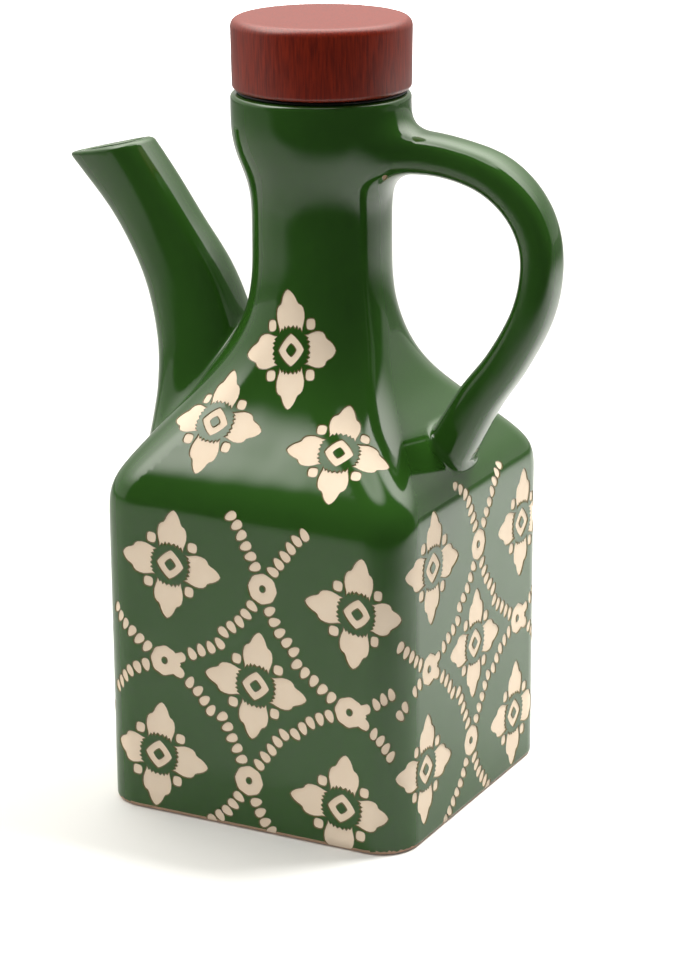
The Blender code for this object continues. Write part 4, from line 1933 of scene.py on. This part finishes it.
@dataclass(frozen=True)
class SoftLamp:
    """A soft spot lamp that lights the matt surfaces and is kept out of the gloss.

    Args:
        name: Its name.
        place: Where it hangs, mm.
        aim: The point that it faces, mm.
        angle: Full width of its beam, degrees.
        power: Watts.
        radius: Radius of its glowing part, m.
    """

    name: str
    place: Point3
    aim: Point3
    angle: float
    power: float
    radius: float = 0.2

    def build(self) -> None:
        """Hangs the lamp."""
        data = bpy.data.lights.new(self.name, "SPOT")
        data.energy = self.power
        data.spot_size = math.radians(self.angle)
        data.spot_blend = 1.0
        data.shadow_soft_size = self.radius
        made = bpy.data.objects.new(self.name, data)
        start, end = Vector(self.place) * MM, Vector(self.aim) * MM
        turn = (end - start).to_track_quat("-Z", "Y").to_matrix().to_4x4()
        made.matrix_world = Matrix.Translation(start) @ turn
        made.visible_glossy = False
        bpy.context.scene.collection.objects.link(made)


@dataclass(frozen=True)
class Studio:
    """The pale floor, the light tent, three lamps and a sheet of painted shade over the table.

    Args:
        floor_size: Side of the floor, mm.
        shade_sheet_height: Height of the sheet of painted shade over the floor, mm.
        dark_side: Where the table is dark in the gloss, degrees from the front towards the right.
        dark_start: Distance from the pot, towards that side, where it begins to darken, mm.
        dark_end: Distance where it is dark, mm.
        near_shade: How much of the table's light the painted shade takes near the pot on its lit side.
        far_shade: How much it takes far away.
        far: Distances between which the one goes over into the other, mm.
    """

    LAMPS = (
        SoftLamp("table_lamp", (480, 520, 1300), (230, 270, 0), 38, 170),
        SoftLamp("front_lamp", (420, -1150, 500), (0, 0, 90), 22, 24),
        SoftLamp("back_lamp", (-600, 1350, 900), (-600, 1300, 0), 95, 120),
    )

    floor_size: float = 9000.0
    shade_sheet_height: float = 0.6
    dark_side: float = 36.0
    dark_start: float = 140.0
    dark_end: float = 400.0
    near_shade: float = 0.36
    far_shade: float = 0.72
    far: Point2 = (420.0, 1100.0)

    def sheet(self, name: str, height: float, material: bpy.types.Material) -> bpy.types.Object:
        """A level square as large as the floor.

        Args:
            name: Its name.
            height: Its height, mm.
            material: Its finish.

        Returns:
            The sheet.
        """
        half = self.floor_size / 2
        corners = np.array([(x * half, y * half, height) for x, y in ((-1, -1), (1, -1), (1, 1), (-1, 1))])
        made = mesh_object(name, corners, [(0, 1, 2, 3)])
        made.data.materials.append(material)
        return made

    def table_shade(self) -> bpy.types.Material:
        """Painted shade over the table: a dark sheet, thin on the lit side of the table and dense on the dark
        side.

        Returns:
            The material: the gloss and the shading see a darker table through it.
        """
        material = bpy.data.materials.new("black_velvet")
        material.use_nodes = True
        tree = material.node_tree
        tree.nodes.clear()
        place = add_node(tree, "ShaderNodeTexCoord").outputs["Object"]
        side = math.radians(self.dark_side)
        away = add_node(tree, "ShaderNodeVectorMath", {
            "operation": "DOT_PRODUCT", 1: (math.sin(side), -math.cos(side), 0.0)}, {0: place})
        reach = add_node(tree, "ShaderNodeVectorMath", {"operation": "LENGTH"}, {0: place})
        thin = add_node(tree, "ShaderNodeMapRange", {
            "From Min": self.far[0] * MM, "From Max": self.far[1] * MM,
            "To Min": self.near_shade, "To Max": self.far_shade}, {"Value": reach.outputs["Value"]})
        cover = add_node(tree, "ShaderNodeMapRange", {
            "interpolation_type": "SMOOTHSTEP",
            "From Min": self.dark_start * MM, "From Max": self.dark_end * MM},
            {"Value": away.outputs["Value"], "To Min": thin.outputs[0]})
        clear = add_node(tree, "ShaderNodeBsdfTransparent")
        # Painted shade: the dark grey that the table shows through the sheet in the gloss and the shading.
        cloth = add_node(tree, "ShaderNodeBsdfDiffuse", {"Color": srgb("#2A2A2A")})
        mixed = add_node(tree, "ShaderNodeMixShader", {},
                         {0: cover.outputs[0], 1: clear.outputs[0], 2: cloth.outputs[0]})
        add_node(tree, "ShaderNodeOutputMaterial", {}, {"Surface": mixed.outputs[0]})
        return material

    def build(self) -> None:
        """Adds everything. The sheet of painted shade shows only in the pot's gloss and shading, not to the
        camera.
        """
        self.sheet("studio_floor", 0.0, PlainFinish("pale_card", "#F0F0EE", 0.8, 3.0, 0.01).make())
        # A sheet of painted shade over the table, hidden from the camera and from shadows.
        shade_sheet = self.sheet("dark_surround", self.shade_sheet_height, self.table_shade())
        shade_sheet.visible_camera = shade_sheet.visible_shadow = False
        LightTent().build()
        for lamp in self.LAMPS:
            lamp.build()
        bpy.context.scene.view_settings.view_transform = "Standard"


def finishes() -> dict[str, bpy.types.Material]:
    """Every finish of the cruet.

    Returns:
        The materials by name.
    """
    made = (
        GreenGlaze(), BareClay(), StainedWood(),
        # Where the glaze thins out over an edge it burns brown: the eye sees a fine dark outline.
        PlainFinish("glaze_edge", "#66582E", 0.3),
        # The foot is wiped clean and has rubbed on tables: the eye sees a dull, pale brown line.
        PlainFinish("worn_foot_clay", "#B09078", 0.85),
        # Moulded rubber with a satin skin: the eye sees only a thin black line.
        PlainFinish("black_silicone", "#0B0B0C", 0.42, 0.6, 0.01),
    )
    return {finish.name: finish.make() for finish in made}


def main() -> None:
    """Builds the studio and the pieces, and says what each one stands for."""
    logging.basicConfig(level=logging.INFO, format="%(message)s")
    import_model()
    StudioCamera().build()
    Studio().build()
    finish = finishes()
    closure = Closure(finish)
    pieces = (
        (Pot(PotShape(), finish).build(), "cruet", "green_glazed_ceramic"),
        (closure.stopper(), "stopper", "red_brown_wood"),
        (closure.seal(), "seal", "black_silicone"),
    )
    for piece, node, slot in pieces:
        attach(piece, "root")
        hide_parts(node)
        LOG.info("%s stands for %s with %d faces", piece.name, node, len(piece.data.polygons))


if __name__ == "__main__":
    main()
